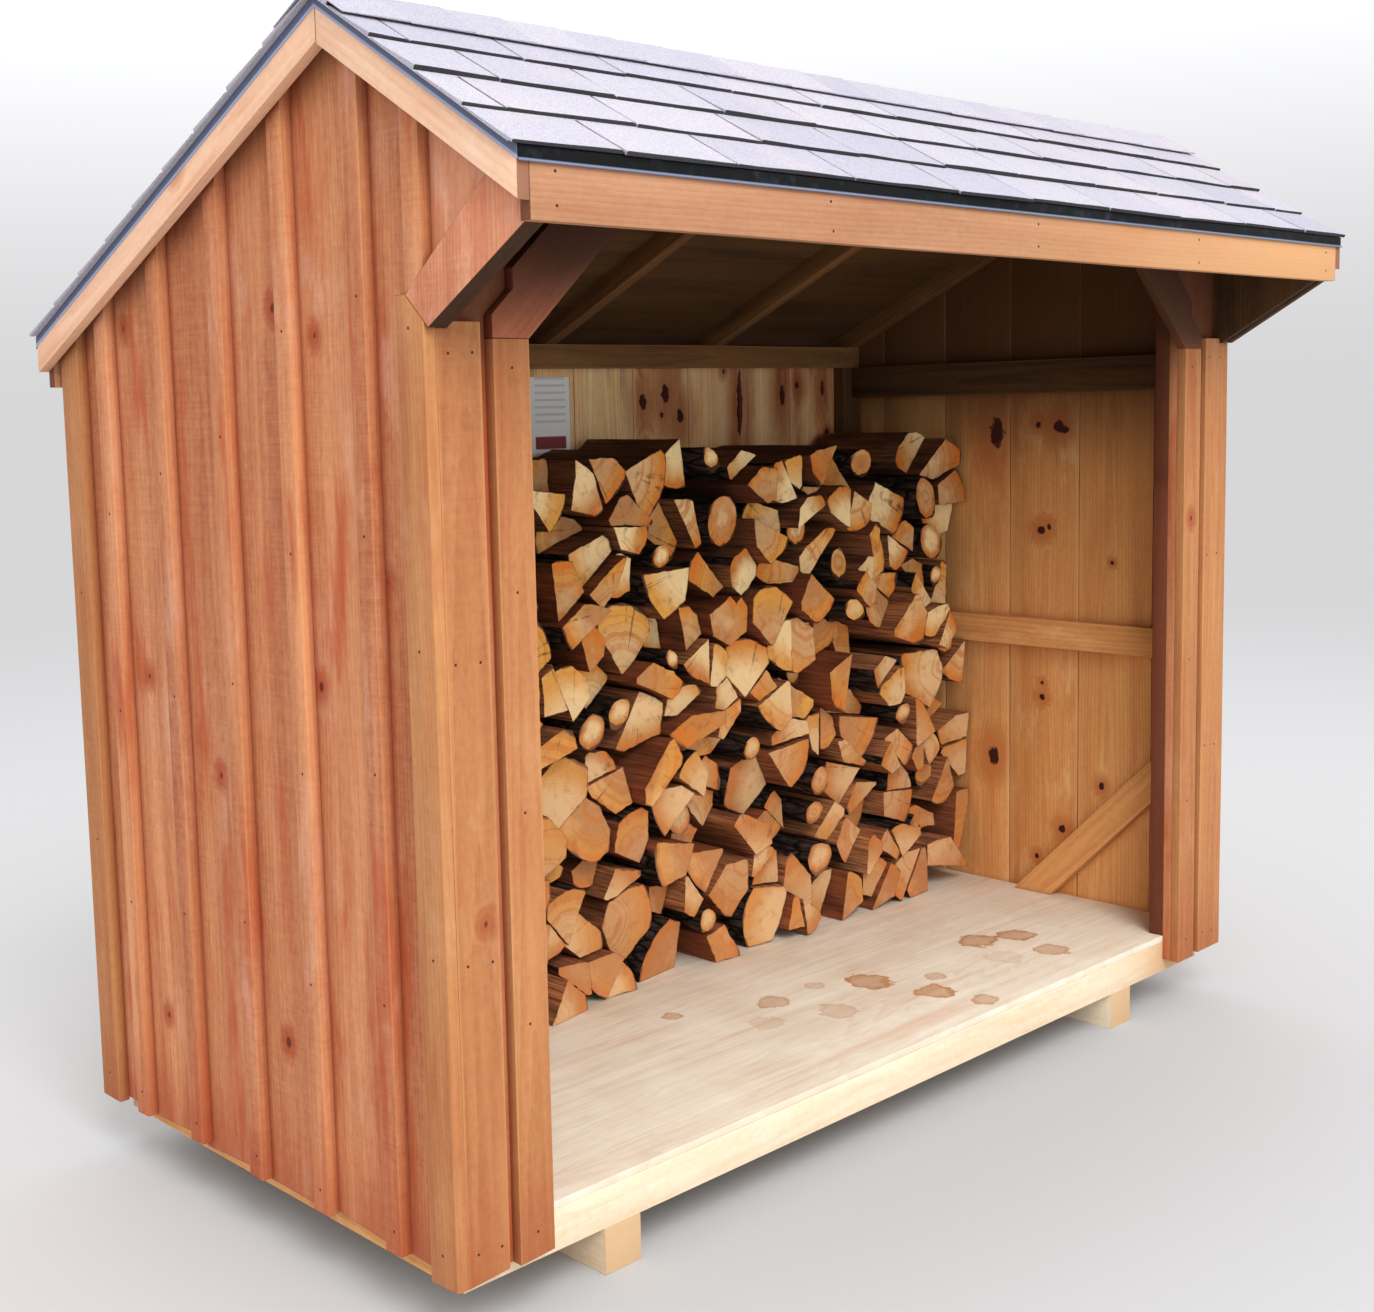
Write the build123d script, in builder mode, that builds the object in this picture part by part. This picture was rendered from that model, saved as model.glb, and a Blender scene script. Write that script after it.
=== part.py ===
from build123d import *
import math
import os
import random

# A board-and-batten log store with an open front and an unequal gable roof,
# holding a stack of split logs.
# X runs along the open front, Y to the back and Z up.
# The origin is the middle of the footprint, on the ground.

# Frame and boards
frame_length = 2438
frame_depth = 1144
board_thickness = 22
lumber_thickness = 38
lumber_width = 76
post_width = 89

# Floor
skid_size = 89
skid_inset = 366
joist_spacing = 406
deck_thickness = 16
siding_lap = 60

# Front wall
corner_board_width = 89
trim_slot = 24
opening_trim_width = 76
corner_board_rise = 26
header_height = 140
brace_drop = 258
brace_angle = 42.4
brace_shoulder_height = 37
brace_step_run = 46
brace_step_rise = 33
brace_lap = 60

# Side walls
side_trim_width = 73
side_trim_rise = 68
batten_width = 46
first_batten = 178
batten_spacing = 220
upper_rail_width = 89
side_brace_foot = 464
side_brace_width = 114

# Rear wall
rear_batten_count = 10
rear_plate_height = 60

# Roof
ridge_height = 2212
ridge_setback = 215
front_pitch = 31.0
rear_pitch = 24.7
front_overhang = 268
rear_overhang = 40
sheathing_thickness = 12
rafter_depth = 44
rafter_spacing = 610
ridge_board_height = 89
rake_width = 64
rake_gap = 8
fascia_width = 88

# Wing closing each end of the front overhang
wing_tip_reach = 11
wing_tip_rise = 14
wing_head_angle = 37.8
wing_reveal = 6

# Roof covering
metal_thickness = 1.2
drip_face = 16
drip_lip = 5
drip_flange = 60
shingle_overhang = 12
shingle_butt = 9
shingle_head = 3
shingle_exposure = 127
cap_width = 112
cap_thickness = 6

# Notice card on the back wall
card_width = 132
card_height = 200
card_thickness = 1
card_left = 45
card_drop = 22

# Firewood
stack_front = 692
stack_clearance = 6
log_columns = 15
log_rows = 11
stack_headroom = 128
log_jitter = 0.24
log_stagger = 0.25
log_girth_low = 10
log_girth_high = 78
log_reach = 3
log_gap = 0.7
log_front_jitter = 70
log_crown = 0.7
top_gaps = 0.2
stack_seed = 11

# Worked-out sizes
wall_length = frame_length + 4 * board_thickness
wall_depth = frame_depth + 4 * board_thickness
half_length = wall_length / 2
half_frame = frame_length / 2
siding_face = half_length - board_thickness
eave_reach = front_overhang + metal_thickness + shingle_overhang
rear_reach = wall_depth + rear_overhang + metal_thickness + shingle_overhang
front_face = -(eave_reach + rear_reach) / 2 + eave_reach
front_siding = front_face + board_thickness
front_frame = front_siding + board_thickness
rear_face = front_face + wall_depth
rear_siding = rear_face - board_thickness
rear_frame = rear_siding - board_thickness
ridge_y = front_face + ridge_setback
fascia_front = front_face - front_overhang
fascia_rear = rear_face + rear_overhang
joist_bottom = skid_size
joist_top = joist_bottom + lumber_width
deck_top = joist_top + deck_thickness
siding_bottom = deck_top - siding_lap
pier_width = board_thickness + corner_board_width + trim_slot + opening_trim_width
opening_half = half_length - pier_width
rake_outer = half_length + rake_gap + board_thickness
inner_rear = rear_frame - lumber_thickness
inner_front = front_frame + lumber_thickness
inner_side = half_frame - lumber_thickness
log_spacing = 2 * (inner_side - stack_clearance) / log_columns
sheathing_half = half_length + rake_gap


def front_roof(y, height=0.0):
    """Height of a line parallel to the front slope, this far off the boarding."""
    angle = math.radians(front_pitch)
    return ridge_height - (ridge_y - y) * math.tan(angle) + height / math.cos(angle)


def rear_roof(y, height=0.0):
    """Height of a line parallel to the rear slope, this far off the boarding."""
    angle = math.radians(rear_pitch)
    return ridge_height - (y - ridge_y) * math.tan(angle) + height / math.cos(angle)


def front_layer(start, end, low, high):
    """Corners of a plumb-cut layer of the front slope, between two Y values."""
    return [
        (start, front_roof(start, low)),
        (end, front_roof(end, low)),
        (end, front_roof(end, high)),
        (start, front_roof(start, high)),
    ]


def rear_layer(start, end, low, high):
    """Corners of a plumb-cut layer of the rear slope, between two Y values."""
    return [
        (start, rear_roof(start, low)),
        (end, rear_roof(end, low)),
        (end, rear_roof(end, high)),
        (start, rear_roof(start, high)),
    ]


def side_profile(points, start, length):
    """Adds a solid with this outline in Y and Z, from X = start."""
    with BuildSketch(Plane.YZ.offset(start)) as outline:
        with BuildLine():
            Polyline(*points, close=True)
        make_face()
    extrude(outline.sketch, amount=length)


def front_profile(points, start, length):
    """Adds a solid with this outline in X and Z, from Y = start to the back."""
    with BuildSketch(Plane.XZ.offset(-start)) as outline:
        with BuildLine():
            Polyline(*points, close=True)
        make_face()
    extrude(outline.sketch, amount=-length)


def block(x_low, x_high, y_low, y_high, z_low, z_high):
    """Adds a squared timber between these limits."""
    middle = ((x_low + x_high) / 2, (y_low + y_high) / 2, (z_low + z_high) / 2)
    with Locations(middle):
        Box(x_high - x_low, y_high - y_low, z_high - z_low)


os.makedirs("parts", exist_ok=True)


def finish(part, name):
    """Labels a finished piece and writes it."""
    part.label = name
    export_step(part, f"parts/{name}.step")


# Floor

with BuildPart() as skids:
    skid_x = half_length - skid_inset
    block(skid_x - skid_size, skid_x, front_frame, rear_frame, 0, skid_size)
    mirror(about=Plane.YZ)
finish(skids.part, "skids")

with BuildPart() as floor_rims:
    rim_back = front_frame + lumber_thickness
    block(-half_frame, half_frame, front_frame, rim_back, joist_bottom, joist_top)
    block(-half_frame, half_frame, inner_rear, rear_frame, joist_bottom, joist_top)
finish(floor_rims.part, "floor_rims")

with BuildPart() as floor_joists:
    inner_joists = int((half_frame - lumber_thickness) / joist_spacing)
    joist_centres = [n * joist_spacing for n in range(-inner_joists, inner_joists + 1)]
    end_joist = half_frame - lumber_thickness / 2
    for x in [-end_joist, *joist_centres, end_joist]:
        low, high = x - lumber_thickness / 2, x + lumber_thickness / 2
        block(low, high, inner_front, inner_rear, joist_bottom, joist_top)
finish(floor_joists.part, "floor_joists")

with BuildPart() as floor_deck:
    block(-half_frame, half_frame, front_frame, rear_frame, joist_top, deck_top)
finish(floor_deck.part, "floor_deck")

# Roof timbers

rafter_top = -sheathing_thickness
rafter_bottom = rafter_top - rafter_depth
ridge_half = board_thickness / 2
header_top = front_roof(inner_front, rafter_bottom)
header_bottom = header_top - header_height
plate_top = rear_roof(inner_rear, rafter_bottom)
plate_bottom = plate_top - rear_plate_height
fascia_back = fascia_front + board_thickness
rear_fascia_front = fascia_rear - board_thickness
opening_trim_top = header_bottom - brace_drop
corner_board_top = opening_trim_top + corner_board_rise
side_trim_top = opening_trim_top + side_trim_rise
upper_rail_foot = plate_bottom - upper_rail_width
middle_rail_foot = (deck_top + upper_rail_foot) / 2
card_top = plate_bottom - card_drop
log_pitch = (upper_rail_foot - stack_headroom - deck_top) / log_rows
end_rafter = half_frame - lumber_thickness / 2
rafter_centres = [-end_rafter, -rafter_spacing, 0, rafter_spacing, end_rafter]

with BuildPart() as front_rafters:
    outline = front_layer(fascia_back, ridge_y - ridge_half, rafter_bottom, rafter_top)
    for x in rafter_centres:
        with BuildSketch(Plane.YZ.offset(x - lumber_thickness / 2)):
            with BuildLine():
                Polyline(*outline, close=True)
            make_face()
            with Locations((front_frame + lumber_thickness / 2, header_top)):
                seat = (Align.CENTER, Align.MAX)
                Rectangle(lumber_thickness, header_height, align=seat, mode=Mode.SUBTRACT)
        extrude(amount=lumber_thickness)
finish(front_rafters.part, "front_rafters")

with BuildPart() as rear_rafters:
    outline = rear_layer(ridge_y + ridge_half, rear_fascia_front, rafter_bottom, rafter_top)
    for x in rafter_centres:
        with BuildSketch(Plane.YZ.offset(x - lumber_thickness / 2)):
            with BuildLine():
                Polyline(*outline, close=True)
            make_face()
            with Locations((rear_frame - lumber_thickness / 2, plate_top)):
                seat = (Align.CENTER, Align.MAX)
                Rectangle(lumber_thickness, header_height, align=seat, mode=Mode.SUBTRACT)
        extrude(amount=lumber_thickness)
finish(rear_rafters.part, "rear_rafters")

with BuildPart() as ridge_board:
    front_edge = ridge_y - ridge_half
    rear_edge = ridge_y + ridge_half
    board_foot = front_roof(front_edge, rafter_top) - ridge_board_height
    ridge_points = [
        (front_edge, board_foot),
        (rear_edge, board_foot),
        (rear_edge, rear_roof(rear_edge, rafter_top)),
        (ridge_y, front_roof(ridge_y, rafter_top)),
        (front_edge, front_roof(front_edge, rafter_top)),
    ]
    side_profile(ridge_points, -half_frame, frame_length)
finish(ridge_board.part, "ridge_board")

# Front wall

with BuildPart() as front_header:
    block(-half_frame, half_frame, front_frame, inner_front, header_bottom, header_top)
finish(front_header.part, "front_header")

with BuildPart() as header_board:
    board_top = front_roof(front_siding, rafter_bottom)
    block(-opening_half, opening_half, front_siding, front_frame, header_bottom, board_top)
finish(header_board.part, "header_board")

with BuildPart() as front_posts:
    block(opening_half, opening_half + post_width, front_frame, inner_front, deck_top, header_bottom)
    mirror(about=Plane.YZ)
finish(front_posts.part, "front_posts")

with BuildPart() as front_corner_studs:
    stud_edge = opening_half + post_width
    block(stud_edge, half_frame, front_frame, inner_front, deck_top, header_bottom)
    mirror(about=Plane.YZ)
finish(front_corner_studs.part, "front_corner_studs")

with BuildPart() as pier_siding:
    pier_top = front_roof(front_siding, rafter_bottom)
    block(opening_half, half_frame, front_siding, front_frame, siding_bottom, pier_top)
    mirror(about=Plane.YZ)
finish(pier_siding.part, "pier_siding")

with BuildPart() as front_corner_boards:
    board_edge = siding_face - corner_board_width
    block(board_edge, siding_face, front_face, front_siding, siding_bottom, corner_board_top)
    mirror(about=Plane.YZ)
finish(front_corner_boards.part, "front_corner_boards")

with BuildPart() as opening_trims:
    trim_edge = opening_half + opening_trim_width
    block(opening_half, trim_edge, front_face, front_siding, siding_bottom, opening_trim_top)
    mirror(about=Plane.YZ)
finish(opening_trims.part, "opening_trims")

with BuildPart() as knee_braces:
    rise = math.tan(math.radians(brace_angle))
    brace_top = header_bottom + brace_lap
    shoulder = opening_trim_top + brace_shoulder_height
    step_x = trim_edge - brace_step_run
    step_low = shoulder + brace_step_run * rise
    step_high = step_low + brace_step_rise
    foot_run = (brace_top - opening_trim_top) / rise
    head_run = (brace_top - step_high) / rise
    brace_points = [
        (opening_half, opening_trim_top),
        (trim_edge, opening_trim_top),
        (trim_edge, shoulder),
        (step_x, step_low),
        (step_x, step_high),
        (step_x - head_run, brace_top),
        (opening_half - foot_run, brace_top),
    ]
    front_profile(brace_points, front_face, board_thickness)
    mirror(about=Plane.YZ)
finish(knee_braces.part, "knee_braces")

# Lower and upper edges of the wings that close the ends of the overhang

side_top = -sheathing_thickness
fascia_foot = front_roof(fascia_front, side_top) - fascia_width
wing_tip = front_face - wing_tip_reach
wing_tip_height = opening_trim_top + wing_tip_rise
wing_heel = front_face + batten_width
wing_rise = (fascia_foot - wing_tip_height) / (wing_tip - fascia_back)
wing_head_rise = math.tan(math.radians(wing_head_angle))
wing_cut_rise = (side_trim_top - wing_tip_height) / (wing_heel - wing_tip)


def wing_foot(y):
    """Height of the lower edge of a wing's trim."""
    return wing_tip_height + (wing_tip - y) * wing_rise


def wing_head(y):
    """Height of the upper edge of a wing's trim."""
    return side_trim_top + (wing_heel - y) * wing_head_rise


def wing_end(y):
    """Height of the slanted end of a wing's trim, against the corner trim."""
    return wing_tip_height + (y - wing_tip) * wing_cut_rise


# Side walls

with BuildPart() as left_wall_siding:
    wall_points = [
        (front_siding, siding_bottom),
        (rear_siding, siding_bottom),
        (rear_siding, rear_roof(rear_siding, side_top)),
        (ridge_y, front_roof(ridge_y, side_top)),
        (front_siding, front_roof(front_siding, side_top)),
    ]
    side_profile(wall_points, -siding_face, board_thickness)
finish(left_wall_siding.part, "left_wall_siding")

with BuildPart() as right_wall_siding:
    side_profile(wall_points, half_frame, board_thickness)
finish(right_wall_siding.part, "right_wall_siding")

batten_room = rear_face - side_trim_width - batten_width / 2 - front_face - first_batten
batten_count = int(batten_room / batten_spacing) + 1


def add_battens(start):
    """Adds the battens and trims of one side wall, from X = start."""
    for n in range(batten_count):
        low = front_face + first_batten + n * batten_spacing - batten_width / 2
        high = low + batten_width
        head = [(high, rear_roof(high, side_top)), (low, rear_roof(low, side_top))]
        if low < ridge_y < high:
            head.insert(1, (ridge_y, front_roof(ridge_y, side_top)))
        if low < ridge_y:
            head[-1] = (low, front_roof(low, side_top))
        if high <= ridge_y:
            head[0] = (high, front_roof(high, side_top))
        outline = [(low, siding_bottom), (high, siding_bottom), *head]
        side_profile(outline, start, board_thickness)


with BuildPart() as left_wall_battens:
    add_battens(-half_length)
finish(left_wall_battens.part, "left_wall_battens")

with BuildPart() as right_wall_battens:
    add_battens(siding_face)
finish(right_wall_battens.part, "right_wall_battens")

with BuildPart() as side_corner_trims:
    trim_back = front_face + side_trim_width
    front_points = [
        (front_face, siding_bottom),
        (trim_back, siding_bottom),
        (trim_back, side_trim_top),
        (wing_heel, side_trim_top),
        (front_face, wing_end(front_face)),
    ]
    side_profile(front_points, siding_face, board_thickness)
    rear_trim = rear_face - side_trim_width
    rear_points = [
        (rear_trim, siding_bottom),
        (rear_face, siding_bottom),
        (rear_face, rear_roof(rear_face, side_top)),
        (rear_trim, rear_roof(rear_trim, side_top)),
    ]
    side_profile(rear_points, siding_face, board_thickness)
    mirror(about=Plane.YZ)
finish(side_corner_trims.part, "side_corner_trims")

with BuildPart() as upper_corner_battens:
    upper_points = [
        (front_face, wing_head(front_face)),
        (wing_heel, side_trim_top),
        (wing_heel, front_roof(wing_heel, side_top)),
        (front_face, front_roof(front_face, side_top)),
    ]
    side_profile(upper_points, siding_face, board_thickness)
    mirror(about=Plane.YZ)
finish(upper_corner_battens.part, "upper_corner_battens")

with BuildPart() as side_wall_rails:
    block(inner_side, half_frame, inner_front, inner_rear, upper_rail_foot, plate_bottom)
    rail_top = middle_rail_foot + lumber_width
    block(inner_side, half_frame, inner_front, inner_rear, middle_rail_foot, rail_top)
    mirror(about=Plane.YZ)
finish(side_wall_rails.part, "side_wall_rails")

with BuildPart() as side_wall_braces:
    foot_front = front_face + side_brace_foot
    foot_rear = foot_front + side_brace_width
    brace_points = [
        (foot_front, deck_top),
        (foot_rear, deck_top),
        (inner_front, deck_top + foot_rear - inner_front),
        (inner_front, deck_top + foot_front - inner_front),
    ]
    side_profile(brace_points, inner_side, lumber_thickness)
    mirror(about=Plane.YZ)
finish(side_wall_braces.part, "side_wall_braces")

# Rear wall

rear_top = rear_roof(rear_siding, rafter_bottom)

with BuildPart() as rear_wall_siding:
    block(-half_frame, half_frame, rear_frame, rear_siding, siding_bottom, rear_top)
finish(rear_wall_siding.part, "rear_wall_siding")

batten_head = rear_roof(rear_face, rafter_bottom)
rear_span = 2 * (siding_face - corner_board_width)
rear_pitch_x = rear_span / (rear_batten_count + 1)

with BuildPart() as rear_wall_battens:
    for n in range(rear_batten_count):
        x = -rear_span / 2 + (n + 1) * rear_pitch_x
        low, high = x - batten_width / 2, x + batten_width / 2
        block(low, high, rear_siding, rear_face, siding_bottom, batten_head)
finish(rear_wall_battens.part, "rear_wall_battens")

with BuildPart() as rear_corner_boards:
    board_edge = siding_face - corner_board_width
    block(board_edge, siding_face, rear_siding, rear_face, siding_bottom, batten_head)
    mirror(about=Plane.YZ)
finish(rear_corner_boards.part, "rear_corner_boards")

with BuildPart() as rear_top_plate:
    block(-half_frame, half_frame, inner_rear, rear_frame, plate_bottom, plate_top)
finish(rear_top_plate.part, "rear_top_plate")

with BuildPart() as rear_corner_studs:
    stud_edge = half_frame - lumber_width
    block(stud_edge, half_frame, inner_rear, rear_frame, deck_top, plate_bottom)
    mirror(about=Plane.YZ)
finish(rear_corner_studs.part, "rear_corner_studs")

with BuildPart() as rear_wall_rail:
    rail_top = middle_rail_foot + lumber_width
    block(-stud_edge, stud_edge, inner_rear, rear_frame, middle_rail_foot, rail_top)
finish(rear_wall_rail.part, "rear_wall_rail")

# Wings

with BuildPart() as wing_boards:
    board_points = [
        (front_siding, corner_board_top),
        (front_face, corner_board_top),
        (front_face, wing_foot(front_face) + wing_reveal),
        (fascia_back, fascia_foot + wing_reveal),
        (fascia_back, front_roof(fascia_back, side_top)),
        (front_siding, front_roof(front_siding, side_top)),
    ]
    side_profile(board_points, half_frame, board_thickness)
    mirror(about=Plane.YZ)
finish(wing_boards.part, "wing_boards")

with BuildPart() as wing_trims:
    roof_rise = math.tan(math.radians(front_pitch))
    room = front_roof(wing_heel, side_top) - side_trim_top
    meet_y = wing_heel - room / (wing_head_rise + roof_rise)
    trim_points = [
        (wing_tip, wing_tip_height),
        (fascia_back, fascia_foot),
        (fascia_back, front_roof(fascia_back, side_top)),
        (meet_y, front_roof(meet_y, side_top)),
        (wing_heel, side_trim_top),
    ]
    side_profile(trim_points, siding_face, board_thickness)
    mirror(about=Plane.YZ)
finish(wing_trims.part, "wing_trims")

# Roof boarding and edges

with BuildPart() as front_sheathing:
    layer = front_layer(fascia_front, ridge_y, -sheathing_thickness, 0)
    side_profile(layer, -sheathing_half, 2 * sheathing_half)
finish(front_sheathing.part, "front_sheathing")

with BuildPart() as rear_sheathing:
    layer = rear_layer(ridge_y, fascia_rear, -sheathing_thickness, 0)
    side_profile(layer, -sheathing_half, 2 * sheathing_half)
finish(rear_sheathing.part, "rear_sheathing")

with BuildPart() as front_fascia:
    fascia_points = [
        (fascia_front, fascia_foot),
        (fascia_back, fascia_foot),
        (fascia_back, front_roof(fascia_back, side_top)),
        (fascia_front, front_roof(fascia_front, side_top)),
    ]
    side_profile(fascia_points, -sheathing_half, 2 * sheathing_half)
finish(front_fascia.part, "front_fascia")

with BuildPart() as rear_fascia:
    rear_foot = rear_roof(fascia_rear, side_top) - fascia_width
    fascia_points = [
        (rear_fascia_front, rear_foot),
        (fascia_rear, rear_foot),
        (fascia_rear, rear_roof(fascia_rear, side_top)),
        (rear_fascia_front, rear_roof(rear_fascia_front, side_top)),
    ]
    side_profile(fascia_points, -sheathing_half, 2 * sheathing_half)
finish(rear_fascia.part, "rear_fascia")

with BuildPart() as front_rake_boards:
    rake_points = front_layer(fascia_front, ridge_y, -rake_width, 0)
    side_profile(rake_points, sheathing_half, board_thickness)
    mirror(about=Plane.YZ)
finish(front_rake_boards.part, "front_rake_boards")

with BuildPart() as rear_rake_boards:
    rake_points = rear_layer(ridge_y, fascia_rear, -rake_width, 0)
    side_profile(rake_points, sheathing_half, board_thickness)
    mirror(about=Plane.YZ)
finish(rear_rake_boards.part, "rear_rake_boards")

# Metal edges

with BuildPart() as front_drip_edge:
    edge_y = fascia_front - metal_thickness
    flange_y = fascia_front + drip_flange
    edge_top = front_roof(edge_y, metal_thickness)
    lip_z = front_roof(fascia_front) - drip_face
    edge_points = [
        (edge_y, edge_top),
        (edge_y, lip_z),
        (edge_y - drip_lip, lip_z - drip_lip),
        (fascia_front - drip_lip, lip_z - drip_lip - metal_thickness),
        (fascia_front, lip_z - metal_thickness),
        (fascia_front, front_roof(fascia_front)),
        (flange_y, front_roof(flange_y)),
        (flange_y, front_roof(flange_y, metal_thickness)),
    ]
    side_profile(edge_points, -rake_outer, 2 * rake_outer)
finish(front_drip_edge.part, "front_drip_edge")

with BuildPart() as rear_drip_edge:
    edge_y = fascia_rear + metal_thickness
    flange_y = fascia_rear - drip_flange
    edge_top = rear_roof(edge_y, metal_thickness)
    lip_z = rear_roof(fascia_rear) - drip_face
    edge_points = [
        (edge_y, edge_top),
        (edge_y, lip_z),
        (edge_y + drip_lip, lip_z - drip_lip),
        (fascia_rear + drip_lip, lip_z - drip_lip - metal_thickness),
        (fascia_rear, lip_z - metal_thickness),
        (fascia_rear, rear_roof(fascia_rear)),
        (flange_y, rear_roof(flange_y)),
        (flange_y, rear_roof(flange_y, metal_thickness)),
    ]
    side_profile(edge_points, -rake_outer, 2 * rake_outer)
finish(rear_drip_edge.part, "rear_drip_edge")

with BuildPart() as front_rake_drips:
    face = front_layer(fascia_front - metal_thickness, ridge_y, -drip_face, metal_thickness)
    side_profile(face, rake_outer, metal_thickness)
    flange = front_layer(fascia_front + drip_flange, ridge_y, 0, metal_thickness)
    side_profile(flange, rake_outer - drip_flange, drip_flange)
    mirror(about=Plane.YZ)
finish(front_rake_drips.part, "front_rake_drips")

with BuildPart() as rear_rake_drips:
    face = rear_layer(ridge_y, fascia_rear + metal_thickness, -drip_face, metal_thickness)
    side_profile(face, rake_outer, metal_thickness)
    flange = rear_layer(ridge_y, fascia_rear - drip_flange, 0, metal_thickness)
    side_profile(flange, rake_outer - drip_flange, drip_flange)
    mirror(about=Plane.YZ)
finish(rear_rake_drips.part, "rear_rake_drips")

# Shingles: each course is thick at its lower edge and thin where the next one laps it


def course_points(roof, eave, pitch, side):
    """Outline of one slope's courses, from the eave to the ridge."""
    run = shingle_exposure * math.cos(math.radians(pitch))
    length = abs(ridge_y - eave)
    points = [(ridge_y, roof(ridge_y, metal_thickness)), (eave, roof(eave, metal_thickness))]
    start = 0.0
    while start < length:
        end = min(start + run, length)
        head = shingle_butt - (shingle_butt - shingle_head) * (end - start) / run
        low_y = eave + side * start
        high_y = eave + side * end
        points.append((low_y, roof(low_y, metal_thickness + shingle_butt)))
        points.append((high_y, roof(high_y, metal_thickness + head)))
        start = end
    return points


shingle_length = 2 * (rake_outer + metal_thickness + shingle_overhang)

with BuildPart() as front_shingles:
    front_eave = fascia_front - metal_thickness - shingle_overhang
    outline = course_points(front_roof, front_eave, front_pitch, 1)
    side_profile(outline, -shingle_length / 2, shingle_length)
finish(front_shingles.part, "front_shingles")

with BuildPart() as rear_shingles:
    rear_eave = fascia_rear + metal_thickness + shingle_overhang
    outline = course_points(rear_roof, rear_eave, rear_pitch, -1)
    side_profile(outline, -shingle_length / 2, shingle_length)
finish(rear_shingles.part, "rear_shingles")

with BuildPart() as ridge_cap:
    cap_height = metal_thickness + shingle_butt
    cap_front = ridge_y - cap_width * math.cos(math.radians(front_pitch))
    cap_rear = ridge_y + cap_width * math.cos(math.radians(rear_pitch))
    cap_top = cap_height + cap_thickness
    cap_points = [
        (cap_front, front_roof(cap_front, cap_height)),
        (ridge_y, front_roof(ridge_y, cap_height)),
        (cap_rear, rear_roof(cap_rear, cap_height)),
        (cap_rear, rear_roof(cap_rear, cap_top)),
        (ridge_y, front_roof(ridge_y, cap_top)),
        (cap_front, front_roof(cap_front, cap_top)),
    ]
    side_profile(cap_points, -shingle_length / 2, shingle_length)
finish(ridge_cap.part, "ridge_cap")

# Notice card

with BuildPart() as notice_card:
    card_x = -card_left
    card_back = rear_frame
    card_front = card_back - card_thickness
    block(card_x, card_x + card_width, card_front, card_back, card_top - card_height, card_top)
finish(notice_card.part, "notice_card")

# Firewood: the ends of the logs are the cells round a jittered grid of hearts


def clip(outline, point, direction):
    """Keeps the part of a convex outline that lies behind a line."""
    kept = []
    count = len(outline)
    for n in range(count):
        a = outline[n]
        b = outline[(n + 1) % count]
        side_a = (a[0] - point[0]) * direction[0] + (a[1] - point[1]) * direction[1]
        side_b = (b[0] - point[0]) * direction[0] + (b[1] - point[1]) * direction[1]
        if side_a <= 0:
            kept.append(a)
        if side_a * side_b < 0:
            share = side_a / (side_a - side_b)
            kept.append((a[0] + share * (b[0] - a[0]), a[1] + share * (b[1] - a[1])))
    return kept


def log_hearts():
    """Places the hearts of the logs, with a spare row above to round off the top."""
    draw = random.Random(stack_seed)
    hearts = []
    for row in range(log_rows + 1):
        for column in range(log_columns):
            stagger = log_stagger if row % 2 else -log_stagger
            x = (column - (log_columns - 1) / 2 + stagger) * log_spacing
            z = deck_top + (row + 0.5) * log_pitch
            x += draw.uniform(-log_jitter, log_jitter) * log_spacing
            z += draw.uniform(-log_jitter, log_jitter) * log_pitch
            girth = draw.uniform(log_girth_low, log_girth_high)
            setback = draw.uniform(0, log_front_jitter)
            missing = row == log_rows - 1 and draw.random() < top_gaps
            hearts.append((log_rows if missing else row, x, z, setback, girth))
    return hearts


def log_cell(heart, hearts):
    """Outline of the log round one heart, half a gap clear of its neighbours."""
    x, z, girth = heart[1], heart[2], heart[4]
    reach = log_reach * log_spacing
    left = max(x - reach, stack_clearance - half_frame)
    right = min(x + reach, half_frame - stack_clearance)
    top = z + log_crown * log_pitch
    outline = [(left, deck_top), (right, deck_top), (right, top), (left, top)]
    for other in hearts:
        run, rise = other[1] - x, other[2] - z
        span = math.hypot(run, rise)
        if 0 < span < reach:
            along = (run / span, rise / span)
            lead = (girth**2 - other[4] ** 2) / (2 * span)
            middle = span / 2 + lead - log_gap / 2
            outline = clip(outline, (x + along[0] * middle, z + along[1] * middle), along)
    heights = [corner[1] for corner in outline]
    rail_head = middle_rail_foot + lumber_width + stack_clearance
    if min(heights) < rail_head and max(heights) > middle_rail_foot - stack_clearance:
        for side in (-1, 1):
            rail_face = (side * (inner_side - stack_clearance), z)
            outline = clip(outline, rail_face, (side, 0))
    return outline


hearts = log_hearts()
stack_front_y = front_face + stack_front
stack_rear_y = inner_rear - stack_clearance


def add_logs(first_row, last_row):
    """Adds the logs of these rows of the stack."""
    for heart in hearts:
        row, setback = heart[0], heart[3]
        if first_row <= row < last_row:
            start = stack_front_y + setback
            front_profile(log_cell(heart, hearts), start, stack_rear_y - start)


with BuildPart() as firewood_lower:
    add_logs(0, 3)
finish(firewood_lower.part, "firewood_lower")

with BuildPart() as firewood_middle:
    add_logs(3, 6)
finish(firewood_middle.part, "firewood_middle")

with BuildPart() as firewood_upper:
    add_logs(6, log_rows)
finish(firewood_upper.part, "firewood_upper")
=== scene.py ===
import math
import random

import bmesh
import bpy
from mathutils import Matrix, Vector, noise


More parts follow.
